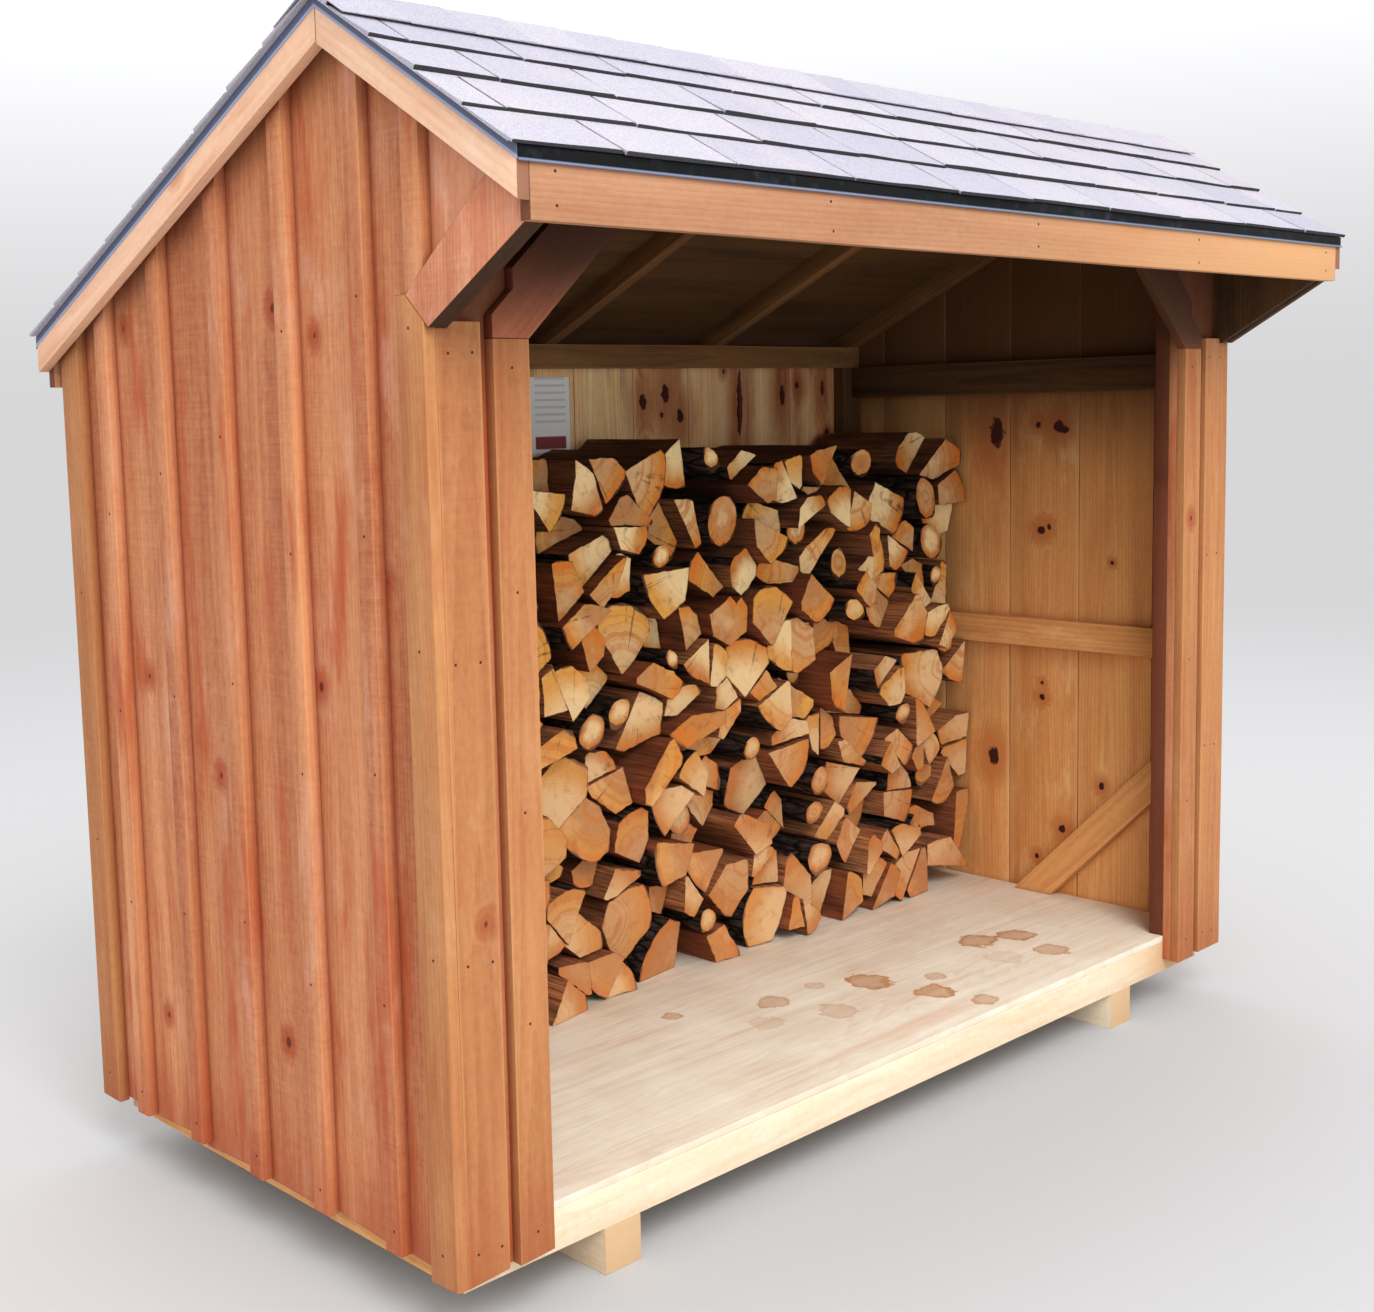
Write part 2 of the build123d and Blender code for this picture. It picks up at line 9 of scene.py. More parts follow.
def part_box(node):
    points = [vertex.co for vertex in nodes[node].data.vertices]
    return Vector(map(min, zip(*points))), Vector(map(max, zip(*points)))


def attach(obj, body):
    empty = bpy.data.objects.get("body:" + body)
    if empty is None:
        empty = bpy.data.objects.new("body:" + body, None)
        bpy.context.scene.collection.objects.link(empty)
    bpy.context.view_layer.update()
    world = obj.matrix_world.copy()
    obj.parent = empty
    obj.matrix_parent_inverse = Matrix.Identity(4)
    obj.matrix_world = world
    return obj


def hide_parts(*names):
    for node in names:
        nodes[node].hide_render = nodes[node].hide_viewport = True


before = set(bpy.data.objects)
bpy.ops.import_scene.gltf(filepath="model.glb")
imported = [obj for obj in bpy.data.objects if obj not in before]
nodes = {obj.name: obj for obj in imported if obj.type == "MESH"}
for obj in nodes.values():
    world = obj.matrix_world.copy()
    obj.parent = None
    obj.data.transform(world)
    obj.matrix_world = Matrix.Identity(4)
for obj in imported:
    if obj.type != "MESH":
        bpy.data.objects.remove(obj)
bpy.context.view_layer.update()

# Camera, solved from the photograph's edges, for an image of 1374 by 1312
image_width = 1374
focal_pixels = 1728.0
camera_place = Vector((-2.8836, -2.6553, 1.5502))
camera_yaw = math.radians(43.28)
camera_pitch = math.radians(-6.446)
camera_roll = math.radians(-1.349)
axis_left_pixels = 63.2
axis_up_pixels = 50.4
sensor_width = 36.0

# Roof pitches, as in the part's source
front_pitch = math.radians(31)
rear_pitch = math.radians(24.7)

# Boards
seam_gap = 0.0015
edge_wear = 0.0016
section_length = 0.14
board_waviness = 0.0011
board_seed = 4
foot_raggedness = 0.007
foot_slope = 0.06
# Above this height the side wall rails take the dark wood as painted shade
upper_rail_height = 1.55

# Nails
nail_radius = 0.0026
nail_height = 0.0007
nail_sides = 8
nail_profile = ((1.0, -0.5), (1.0, 0.4), (0.6, 0.9))
nail_seed = 11
nail_drift = 0.004
nail_margin = 0.05
one_row, two_rows, rear_row = (0.0,), (-0.27, 0.27), (0.46,)
left_trim_nails = 10
front_rim_nails = 14

# Shingles
shingle_exposure = 0.127
shingle_butt = 0.0115
base_sheet = 0.0025
tab_width = 0.266
least_tab = 0.2
first_tab = (0.25, 0.9)
tab_spread = (0.86, 1.14)
slot_width = 0.006
slot_depth = 0.0022
slot_top = 0.0008
tab_unevenness = 0.009
tab_thinning = (0.0008, 0.0034)
tab_top = 0.0012
tab_roughness = 0.0016
plate_wear = 0.0009
base_tone, slot_tone = 0.3, 0.5
eave_set_back = 0.0068
base_set_back = 0.011
cap_exposure = 0.131
cap_thickness = 0.006
cap_gap = 0.0012
cap_low = 0.0042
cap_high = 0.0022
cap_drift = 0.003
cap_lift = 0.0003
cap_roughness = 0.0005

# Firewood
log_seed = 7
log_inset = 0.0036
pair_area = 0.0115
pair_share = 0.75
log_step = 0.0075
log_roughness = 0.003
end_roughness = 0.0015
tear_depth = 0.0042
tip_depth = 0.004
log_sections = (0.0, 0.004, 0.02, 0.05, 0.1, 0.2)
end_tilt = 0.2
round_share = 0.12
quarter_share = 0.5
half_share = 0.22
quarter_opening = (1.3, 2.0)
half_opening = (2.5, 3.1)
set_back_share = 0.3
deepest_set_back = 0.09
end_unevenness = 0.015

# Axes
AXIS_X = Vector((1, 0, 0))
AXIS_Y = Vector((0, 1, 0))
AXIS_Z = Vector((0, 0, 1))


class Shader:
    """Builds the nodes of a material, or of a world. An input is a plain value or another node's output."""

    def __init__(self, name, owner=None):
        self.owner = owner or bpy.data.materials.new(name)
        self.owner.use_nodes = True
        self.tree = self.owner.node_tree
        self.tree.nodes.clear()

    def add(self, kind, inputs=None, **settings):
        node = self.tree.nodes.new(kind)
        for key, value in settings.items():
            setattr(node, key, value)
        for key, value in (inputs or {}).items():
            self.feed(node.inputs[key], value)
        return node

    def feed(self, socket, value):
        if isinstance(value, bpy.types.NodeSocket):
            self.tree.links.new(value, socket)
        else:
            socket.default_value = value

    def place(self):
        """Each point's place on the object, in metres."""
        return self.add("ShaderNodeTexCoord").outputs["Object"]

    def height(self):
        return self.split(self.place())[2]

    def split(self, vector):
        return self.add("ShaderNodeSeparateXYZ", {"Vector": vector}).outputs

    def join(self, x, y, z=0.0):
        return self.add("ShaderNodeCombineXYZ", {"X": x, "Y": y, "Z": z}).outputs[0]

    def reach(self, vector):
        return self.add("ShaderNodeVectorMath", {0: vector}, operation="LENGTH").outputs["Value"]

    def attribute(self, name, output="Vector"):
        return self.add("ShaderNodeAttribute", attribute_name=name).outputs[output]

    def scaled(self, vector, scale, shift=(0, 0, 0)):
        return self.add("ShaderNodeMapping", {"Vector": vector, "Scale": scale, "Location": shift}).outputs[0]

    def noise(self, vector, scale, detail=3.0, rough=0.5, warp=0.0):
        inputs = {"Vector": vector, "Scale": scale, "Detail": detail, "Roughness": rough, "Distortion": warp}
        return self.add("ShaderNodeTexNoise", inputs).outputs[0]

    def streaky(self, vector, scale, detail=3.0, rough=0.5, warp=0.0, shift=(0, 0, 0)):
        """Noise with its own scale along each axis."""
        return self.noise(self.scaled(vector, scale, shift), 1.0, detail, rough, warp)

    def math(self, operation, a, b=0.0, c=0.0, clamp=False):
        return self.add("ShaderNodeMath", {0: a, 1: b, 2: c}, operation=operation, use_clamp=clamp).outputs[0]

    def times(self, a, b):
        return self.math("MULTIPLY", a, b)

    def minus(self, a, b):
        return self.math("SUBTRACT", a, b)

    def greater(self, a, b):
        return self.math("MAXIMUM", a, b)

    def muladd(self, a, b, c, clamp=False):
        """a times b, plus c."""
        return self.math("MULTIPLY_ADD", a, b, c, clamp)

    def around(self, value, share, base):
        """Adds a share of how far a value lies from a half."""
        return self.muladd(self.minus(value, 0.5), share, base)

    def waves(self, value, count):
        """A sawtooth that rises from 0 to 1 this many times for each unit."""
        return self.math("FRACT", self.times(value, count))

    def ramp(self, value, low, high, start=0.0, end=1.0, smooth=True):
        kind = "SMOOTHSTEP" if smooth else "LINEAR"
        inputs = {"Value": value, "From Min": low, "From Max": high, "To Min": start, "To Max": end}
        return self.add("ShaderNodeMapRange", inputs, interpolation_type=kind).outputs[0]

    def mix(self, share, a, b, blend="MIX"):
        node = self.add("ShaderNodeMix", data_type="RGBA", blend_type=blend)
        values = {"Factor_Float": share, "A_Color": a, "B_Color": b}
        for socket in node.inputs:
            if socket.identifier in values:
                self.feed(socket, values[socket.identifier])
        return next(s for s in node.outputs if s.identifier == "Result_Color")

    def veil(self, colour, value, low, high, most, tone):
        """Lays a tone over a colour, none of it where value is low and the most where it is high."""
        return self.mix(self.ramp(value, low, high, 0.0, most), colour, tone)

    def bump(self, height, strength, distance):
        inputs = {"Height": height, "Strength": strength, "Distance": distance}
        return self.add("ShaderNodeBump", inputs).outputs[0]

    def surface(self, colour, rough, normal, specular=0.3, metallic=0.0):
        return self.add("ShaderNodeBsdfPrincipled", {
            "Base Color": colour, "Roughness": rough, "Metallic": metallic, "Specular IOR Level": specular,
            **({"Normal": normal} if normal else {}),
        }).outputs[0]

    def output(self, shader, kind="Material"):
        self.tree.links.new(shader, self.add("ShaderNodeOutput" + kind).inputs[0])
        return self.owner

    def finish(self, colour, rough, normal=None, specular=0.3, metallic=0.0):
        return self.output(self.surface(colour, rough, normal, specular, metallic))


def srgb(red, green, blue):
    """A linear colour from the 0 to 255 values seen in an image."""
    def linear(value):
        value /= 255
        return value / 12.92 if value <= 0.04045 else ((value + 0.055) / 1.055) ** 2.4
    return (linear(red), linear(green), linear(blue), 1.0)


# Wood materials. "grain" holds each board's own coordinates in metres, with its length along X,
# "span" the same as shares of the board's half width and half thickness, and "tone" one draw a board

def knots(s, grain, spacing, chance_low, largest):
    """Round knots scattered over a board. Returns each point's knot core and the halo round it."""
    long_step, wide_step = spacing
    cell = s.scaled(grain, (1 / long_step, 1 / wide_step, 0.0))
    inputs = {"Vector": cell, "Scale": 1.0, "Randomness": 0.9}
    cells = s.add("ShaderNodeTexVoronoi", inputs, voronoi_dimensions="2D").outputs
    chance = s.add("ShaderNodeSeparateColor", {"Color": cells["Color"]}).outputs[0]
    gap = s.add("ShaderNodeVectorMath", {0: cell, 1: cells["Position"]}, operation="SUBTRACT").outputs[0]
    gap = s.scaled(gap, (long_step * 0.75, wide_step, 0.0))
    distance = s.around(s.streaky(grain, (60.0, 60.0, 60.0), 2.0), 0.006, s.reach(gap))
    size = s.ramp(chance, chance_low, 1.0, 0.003, largest, smooth=False)
    present = s.ramp(chance, chance_low, chance_low + 0.01)
    beyond = s.minus(distance, size)
    core = s.times(s.ramp(beyond, -0.002, 0.002, 1.0, 0.0), present)
    return core, s.times(s.ramp(beyond, 0.0, 0.03, 1.0, 0.0), present)


def placed_knots(s, spots, axis, halo_reach, core, halo):
    """Adds knots at their own places on a wall: place along it, height, radius and how tall each one is."""
    across, height = s.split(s.place())[axis], s.height()
    frayed = s.noise(s.place(), 55.0, 2.0)
    for place, level, radius, stretch in spots:
        gap = s.join(s.minus(across, place), s.math("DIVIDE", s.minus(height, level), stretch))
        near = s.around(frayed, radius * 1.1, s.reach(gap))
        core = s.greater(core, s.ramp(near, radius * 0.7, radius, 1.0, 0.0))
        halo = s.greater(halo, s.ramp(near, radius, radius * halo_reach, 1.0, 0.0))
    return core, halo


def growth_rings(s, grain, halo):
    """Soft ring lines from a pith below the board, pushed aside by the knots."""
    along, across, deep = s.split(grain)
    pushed = s.muladd(s.streaky(grain, (0.9, 2.5, 2.5), 2.0), 0.06, across)
    sunk = s.muladd(halo, 0.018, deep)
    taper = s.muladd(along, 0.011, s.reach(s.join(pushed, sunk)))
    phase = s.muladd(s.streaky(grain, (3.0, 50.0, 50.0)), 0.005, taper)
    return s.ramp(s.waves(phase, 120.0), 0.1, 1.0)


def wood(name, palette, rings=0.2, saw=0.3, blotch=0.5, blush=0.3, knot_spacing=(0.7, 0.17), knot_chance=0.6,
         knot_size=0.008, edge=0.3, crevice_stain_and_shade=0.0, foot=0.0, height_shade=0.0, height_shade_span=(1.55, 1.95),
         height_shade_tone=(72, 42, 22), side_light_and_tone=None, spots=(), spot_axis=0, halo_reach=4.4):
    """Sawn softwood, bare or under a thin stain: streaks, patches, rings, knots and saw marks, with a painted
    highlight along board edges and, where set, painted shade.
    """
    s = Shader(name)
    tones = {part: srgb(*tone) for part, tone in palette.items()}
    grain = s.attribute("grain")
    core, halo = knots(s, grain, knot_spacing, knot_chance, knot_size)
    if spots:
        core, halo = placed_knots(s, spots, spot_axis, halo_reach, core, halo)
    ring = growth_rings(s, grain, halo)
    streaks = s.streaky(grain, (1.2, 26.0, 26.0), 4.0, 0.55)
    cloud = s.streaky(grain, (1.1, 6.0, 6.0), shift=(5, 1, 2))
    fibre = s.streaky(grain, (16.0, 520.0, 520.0), 3.0, 0.6)
    mottle = s.streaky(grain, (60.0, 90.0, 90.0), 3.0, 0.6)
    marks = s.streaky(grain, (210.0, 5.0, 5.0), 2.0, 0.6, 0.6)
    marks = s.around(marks, s.ramp(cloud, 0.35, 0.65, 0.3, 1.0), 0.5)
    layers = ((streaks, 1.1), (cloud, 0.7), (s.attribute("tone", "Fac"), 0.4), (fibre, 0.35), (mottle, 0.55))
    share = 0.5
    for layer, strength in layers + ((marks, saw),):
        share = s.around(layer, strength, share)
    share = s.muladd(ring, rings, s.minus(share, rings / 2))
    share = s.muladd(halo, 0.45, share, clamp=True)
    colour = s.mix(share, tones["light"], tones["dark"])
    patches = s.streaky(grain, (2.2, 15.0, 15.0), 4.0, 0.6, shift=(9, 4, 1))
    colour = s.veil(colour, patches, 0.5, 0.72, blotch, tones["blotch"])
    rubbed = s.streaky(grain, (3.0, 8.0, 8.0), 5.0, 0.7, shift=(2, 8, 5))
    colour = s.veil(colour, rubbed, 0.52, 0.74, blush, tones["blush"])
    colour = s.mix(s.times(halo, 0.6), colour, tones["blotch"])
    # Painted highlight: a lighter band along each board's edges, where the worn arris catches light; the
    # palettes call its tone edge
    width_share = s.math("ABSOLUTE", s.split(s.attribute("span"))[1])
    rim = s.times(s.ramp(width_share, 0.84, 0.98), s.ramp(width_share, 0.985, 1.0, 1.0, 0.4))
    colour = s.mix(s.times(rim, edge), colour, tones["edge"])
    # Painted shade: an occlusion node darkens crevices and the siding next to the battens, mixed with stain
    # pooled there
    if crevice_stain_and_shade:
        open_share = s.add("ShaderNodeAmbientOcclusion", {"Distance": 0.02}, samples=6).outputs["AO"]
        crevice_stain_and_shade_tone = s.mix(0.55, tones["knot"], tones["blotch"])
        colour = s.mix(s.ramp(open_share, 0.35, 0.95, crevice_stain_and_shade, 0.0), colour, crevice_stain_and_shade_tone)
    if foot:
        height = s.muladd(streaks, -0.5, s.height())
        colour = s.mix(s.ramp(height, -0.15, 0.1, foot, 0.0), colour, tones["blotch"])
    # Painted shade: the wood darkens towards the top, over this span of heights, where the roof and the eaves
    # shade it
    if height_shade:
        colour = s.veil(colour, s.muladd(cloud, 0.1, s.height()), *height_shade_span, height_shade, srgb(*height_shade_tone))
    # A tone that grows along X: painted light on the fascia, lighter towards its right end, and painted shade
    # on the rear wall, darker towards its right end; the floor rims only darken towards their right end
    if side_light_and_tone:
        low, high, most, part = side_light_and_tone
        side = s.muladd(cloud, 0.3, s.split(s.place())[0])
        colour = s.veil(colour, side, low, high, most, tones[part])
    end = s.attribute("end", "Fac")
    colour = s.mix(s.times(end, 0.9), colour, s.mix(0.2, tones["knot"], tones["dark"]))
    colour = s.mix(core, colour, tones["knot"])
    relief = s.muladd(ring, 0.2, s.times(fibre, 0.8))
    relief = s.muladd(mottle, 0.7, s.muladd(marks, 0.6, relief))
    return s.finish(colour, 0.75, s.bump(relief, 0.45, 0.0009), 0.25)


# Tones as seen in an image, from 0 to 255
# In each palette, edge is the tone of the painted highlight along board edges
siding_tones = dict(
    light=(212, 146, 100), dark=(152, 80, 50), blotch=(170, 72, 38),
    blush=(216, 166, 142), knot=(100, 40, 22), edge=(222, 158, 102),
)
trim_tones = dict(
    light=(188, 130, 82), dark=(146, 84, 48), blotch=(158, 76, 42),
    blush=(196, 150, 112), knot=(98, 40, 22), edge=(204, 148, 90),
)
fascia_tones = dict(
    light=(180, 132, 98), dark=(144, 96, 66), blotch=(160, 92, 56),
    blush=(188, 152, 122), knot=(88, 40, 22), edge=(216, 164, 112),
)
rake_tones = dict(
    light=(238, 196, 164), dark=(204, 150, 118), blotch=(210, 134, 86),
    blush=(242, 214, 192), knot=(96, 42, 24), edge=(240, 196, 156),
)
wing_tones = dict(
    light=(234, 168, 128), dark=(186, 114, 84), blotch=(194, 102, 68),
    blush=(238, 192, 168), knot=(100, 40, 22), edge=(226, 164, 118),
)
brace_tones = dict(
    light=(208, 124, 88), dark=(158, 86, 58), blotch=(164, 74, 46),
    blush=(210, 148, 116), knot=(90, 36, 20), edge=(210, 138, 92),
)
# The posts' stain, darkened further as painted shade on the opening's inner faces
shaded_post_tones = dict(
    light=(116, 61, 39), dark=(84, 38, 25), blotch=(94, 36, 22),
    blush=(122, 78, 56), knot=(56, 22, 15), edge=(126, 74, 46),
)
pine_tones = dict(
    light=(236, 176, 110), dark=(200, 134, 76), blotch=(192, 112, 60),
    blush=(242, 200, 144), knot=(58, 22, 12), edge=(232, 182, 124),
)
rear_pine_tones = dict(
    light=(255, 230, 176), dark=(232, 170, 108), blotch=(136, 60, 34),
    blush=(255, 236, 194), knot=(62, 22, 13), edge=(240, 204, 152),
)
# A darker copy of the pine as painted shade, for the header, ridge, rafters and top plate under the roof and
# for the wings' undersides
shade_darkened_tones = dict(
    light=(132, 92, 52), dark=(88, 56, 30), blotch=(72, 42, 22),
    blush=(146, 112, 70), knot=(36, 20, 12), edge=(156, 118, 74),
)
# Very dark wood: partly the sheathing's own colour and partly painted shade, on the sheathing, the rear
# corner studs, the upper side rails and the wings' inward faces
roof_shade_tones = dict(
    light=(94, 64, 32), dark=(54, 34, 18), blotch=(44, 26, 14),
    blush=(102, 76, 40), knot=(24, 14, 8), edge=(108, 78, 44),
)
floor_tones = dict(
    light=(236, 220, 194), dark=(210, 182, 146), blotch=(204, 156, 108),
    blush=(240, 230, 212), knot=(192, 154, 112), edge=(238, 222, 190),
)

# Knots that show inside: place along the wall, height, radius, and how tall for its width
rear_wall_knots = (
    (0.35, 1.57, 0.016, 1.4), (0.435, 1.59, 0.016, 1.9), (0.49, 1.53, 0.014, 1.5), (0.42, 1.535, 0.007, 1.2),
    (0.73, 1.56, 0.013, 8.0), (0.91, 1.58, 0.012, 3.0), (0.975, 1.61, 0.01, 1.3), (1.09, 1.6, 0.009, 3.0),
)
right_wall_knots = (
    (0.16, 1.465, 0.026, 1.7), (0.025, 1.485, 0.009, 1.2), (-0.04, 1.48, 0.018, 1.1),
    (-0.06, 1.47, 0.012, 1.0), (0.015, 1.195, 0.014, 1.0), (-0.01, 1.205, 0.008, 1.3),
    (-0.205, 1.115, 0.006, 1.0), (0.01, 0.73, 0.01, 1.0), (0.01, 0.77, 0.006, 1.0),
    (0.17, 0.545, 0.021, 1.4), (-0.055, 0.365, 0.012, 1.0), (0.025, 0.275, 0.008, 1.0),
)

# The crevice settings paint shade in crevices, with stain pooled there
siding_look = dict(rings=0.14, saw=0.5, blotch=0.8, knot_chance=0.62, crevice_stain_and_shade=0.6, foot=0.5)
brace_look = dict(rings=0.18, blotch=0.6, blush=0.2, knot_chance=0.7, crevice_stain_and_shade=0.5)
siding_wood = wood("siding_wood", siding_tones, blush=0.45, **siding_look)
# The settings for shade by height paint shade that darkens a wood towards the top, under the roof and eaves
pier_wood = wood(
    "pier_wood", siding_tones, height_shade=0.85, height_shade_span=(1.56, 1.8), height_shade_tone=(70, 36, 18), **siding_look,
)
stained = wood("stained_wood", trim_tones, rings=0.18, blush=0.35, knot_chance=0.7, crevice_stain_and_shade=0.6, foot=0.35)
# Painted light: the fascia grows lighter towards its right end
fascia_wood = wood(
    "fascia_wood", fascia_tones, saw=0.22, blush=0.35, crevice_stain_and_shade=0.3, edge=0.15,
    side_light_and_tone=(-0.45, 1.55, 0.75, "edge"),
)
wing_wood = wood("wing_wood", wing_tones, rings=0.16, saw=0.35, blotch=0.6, blush=0.6, crevice_stain_and_shade=0.4)
rake_wood = wood("rake_wood", rake_tones, saw=0.22, blush=0.35, knot_chance=0.65, crevice_stain_and_shade=0.3)
brace_wood = wood(
    "brace_wood", brace_tones, height_shade=0.95, height_shade_span=(1.62, 1.88), height_shade_tone=(54, 28, 12), **brace_look,
)
# A shaded copy of the brace wood for the right knee brace, whose painted shade starts lower
shaded_far_brace_wood = wood(
    "shaded_far_brace_wood", brace_tones, height_shade=0.96, height_shade_span=(1.56, 1.78), height_shade_tone=(62, 34, 14), **brace_look,
)
shaded_post_wood = wood("shaded_post_wood", shaded_post_tones, knot_chance=0.55, crevice_stain_and_shade=0.5, height_shade=0.6, height_shade_span=(1.2, 1.75))
bare = wood(
    "bare_wood", pine_tones, rings=0.28, saw=0.1, blotch=0.45, blush=0.5, knot_spacing=(0.42, 0.16),
    knot_chance=0.5, knot_size=0.012, crevice_stain_and_shade=0.35, height_shade=0.92,
)
right_bare = wood(
    "right_pine", pine_tones, rings=0.32, saw=0.1, blotch=0.4, blush=0.55, knot_spacing=(0.42, 0.16),
    knot_chance=0.9, crevice_stain_and_shade=0.35, height_shade=0.94, height_shade_span=(1.36, 1.74), spots=right_wall_knots, spot_axis=1,
)
# Painted shade: the rear wall darkens towards its right end
rear_bare = wood(
    "rear_pine", rear_pine_tones, rings=0.4, saw=0.1, blotch=0.7, knot_spacing=(0.17, 0.15), knot_chance=0.8,
    knot_size=0.01, crevice_stain_and_shade=0.3, side_light_and_tone=(0.3, 1.2, 0.4, "blotch"), spots=rear_wall_knots, halo_reach=7.0,
)
shade_darkened_wood = wood("shaded_wood", shade_darkened_tones, rings=0.3, saw=0.15, edge=0.5)
roof_shade_wood = wood(
    "roof_shade_wood", roof_shade_tones, rings=0.3, saw=0.12, knot_spacing=(0.5, 0.15), knot_chance=0.7, knot_size=0.014,
)
pale = wood(
    "pale_wood", floor_tones, rings=0.15, saw=0.1, blotch=0.3, knot_chance=0.8, knot_size=0.006,
    side_light_and_tone=(0.95, 1.3, 0.8, "blotch"),
)

# Dried spills on the floor: distance from the left wall's face and from the front, radius, and strength
spill_spots = (
    (1.97, 0.365, 0.056, 1.0), (2.075, 0.32, 0.05, 1.0), (2.03, 0.19, 0.044, 0.8), (1.53, 0.375, 0.058, 1.0),
    (1.58, 0.215, 0.052, 1.0), (1.67, 0.275, 0.028, 0.7), (1.61, 0.095, 0.036, 0.8), (1.27, 0.44, 0.042, 0.7),
    (1.045, 0.55, 0.024, 0.8), (1.32, 0.3, 0.046, 0.45), (1.42, 0.445, 0.026, 0.5), (1.16, 0.36, 0.04, 0.3),
    (1.905, 0.24, 0.048, 0.25),
)


def spills(s):
    """How much of a dried spill lies at each point of the floor, darker round its rim."""
    ragged = s.noise(s.place(), 24.0, 3.0, 0.6)
    left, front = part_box("left_wall_battens")[0].x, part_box("front_corner_boards")[0].y
    spill = 0.0
    for across, back, radius, strength in spill_spots:
        near = s.reach(s.scaled(s.place(), (1.0, 1.0, 0.0), (-(left + across), -(front + back), 0)))
        near = s.around(ragged, radius * 1.5, near)
        inside = s.ramp(near, radius * 0.86, radius, strength, 0.0)
        dried = s.ramp(near, radius * 0.55, radius * 0.9, 0.62, 0.95)
        spill = s.greater(spill, s.times(inside, dried))
    return spill


def deck_face():
    """Sanded plywood with long streaks, a faint rotary-cut figure and dried brown spills."""
    s = Shader("plywood")
    grain = s.attribute("grain")
    figure = s.ramp(s.waves(s.streaky(grain, (0.9, 8.0, 1.0), warp=0.8), 18.0), 0.2, 1.0)
    fibre = s.streaky(grain, (14.0, 420.0, 420.0))
    share = s.around(fibre, 0.4, s.muladd(figure, 0.2, 0.25))
    share = s.around(s.noise(grain, 5.0, 4.0, 0.6), 1.2, share)
    share = s.around(s.streaky(grain, (1.4, 34.0, 1.0), 4.0, 0.6), 1.1, share)
    colour = s.mix(share, srgb(232, 221, 203), srgb(206, 182, 154))
    warm = s.streaky(grain, (1.6, 16.0, 1.0), shift=(3, 7, 0))
    colour = s.veil(colour, warm, 0.56, 0.74, 0.35, srgb(206, 150, 112))
    colour = s.mix(spills(s), colour, srgb(178, 120, 66))
    return s.finish(colour, 0.62, s.bump(s.muladd(figure, 0.3, fibre), 0.3, 0.0006), 0.25)


# Reading the solids of a node

def node_solids(name):
    """The node's separate solids, each as a clean bmesh of flat polygons."""
    whole = bmesh.new()
    whole.from_mesh(nodes[name].data)
    bmesh.ops.remove_doubles(whole, verts=whole.verts, dist=1e-5)
    bmesh.ops.dissolve_limit(whole, angle_limit=math.radians(0.4), verts=whole.verts, edges=whole.edges)
    solids = []
    seen = set()
    for start in whole.verts:
        if start in seen:
            continue
        island = [start]
        seen.add(start)
        for vert in island:
            for edge in vert.link_edges:
                other = edge.other_vert(vert)
                if other not in seen:
                    seen.add(other)
                    island.append(other)
        solid = bmesh.new()
        copies = {vert: solid.verts.new(vert.co) for vert in island}
        faces = {face for vert in island for face in vert.link_faces}
        for face in sorted(faces, key=lambda f: f.index):
            solid.faces.new([copies[vert] for vert in face.verts])
        bmesh.ops.recalc_face_normals(solid, faces=solid.faces)
        solids.append(solid)
    whole.free()
    return solids


def extent(verts, direction):
    """The least and the greatest distance of some vertices along a direction."""
    spans = [vert.co.dot(direction) for vert in verts]
    return min(spans), max(spans)


def edges_of(points):
    """Each point of an outline with the one that follows it."""
    return zip(points, points[1:] + points[:1])


def round_trip(count):
    """Each number below count with the one that follows it round a ring."""
    return edges_of(list(range(count)))


def sides_of(solid):
    """The long direction of a squared timber, and the normal of its broadest face."""
    longest = max(solid.edges, key=lambda e: e.calc_length())
    along = (longest.verts[0].co - longest.verts[1].co).normalized()
    if max(along, key=abs) < 0:
        along.negate()
    broad = max(solid.faces, key=lambda f: f.calc_area() * (abs(f.normal.dot(along)) < 0.1))
    return along, broad.normal.copy()


def cut(solid, point, normal):
    """Splits a convex solid by a plane, with a thin seam. Returns the piece behind and the one in front."""
    pieces = []
    for side in (1, -1):
        half = solid.copy()
        geometry = half.verts[:] + half.edges[:] + half.faces[:]
        place = point - normal * (side * seam_gap / 2)
        result = bmesh.ops.bisect_plane(
            half, geom=geometry, plane_co=place, plane_no=normal * side, clear_outer=True
        )
        rim = [e for e in result["geom_cut"] if isinstance(e, bmesh.types.BMEdge)]
        if rim:
            bmesh.ops.holes_fill(half, edges=rim, sides=0)
        bmesh.ops.recalc_face_normals(half, faces=half.faces)
        pieces.append(half)
    return pieces


def split_boards(solid, direction, places):
    """Cuts a sheet into boards, at these distances along a direction."""
    boards = []
    rest = solid
    for place in places:
        board, rest = cut(rest, direction * place, direction)
        boards.append(board)
    boards.append(rest)
    return [board for board in boards if board.faces]


draw = random.Random(board_seed)
nail_draw = random.Random(nail_seed)
log_draw = random.Random(log_seed)
noise.seed_set(board_seed)  # noise_vector would take its seed from the clock


def middle_of(solid):
    return sum((vert.co for vert in solid.verts), Vector()) / len(solid.verts)


def fray_foot(solid, across, most):
    """Cuts a board's foot a little too long or too short, and off level."""
    slope = draw.uniform(-foot_slope, foot_slope)
    drop = draw.uniform(-most, most)
    low = min(vert.co.z for vert in solid.verts)
    centre = middle_of(solid)
    for vert in solid.verts:
        if vert.co.z < low + 0.002:
            vert.co.z += drop + slope * (vert.co - centre).dot(across)


def wear_edges(solid):
    sharp = [edge for edge in solid.edges if edge.calc_face_angle(0) > math.radians(20)]
    bmesh.ops.bevel(solid, geom=sharp, offset=edge_wear, segments=2, profile=0.6, affect="EDGES")


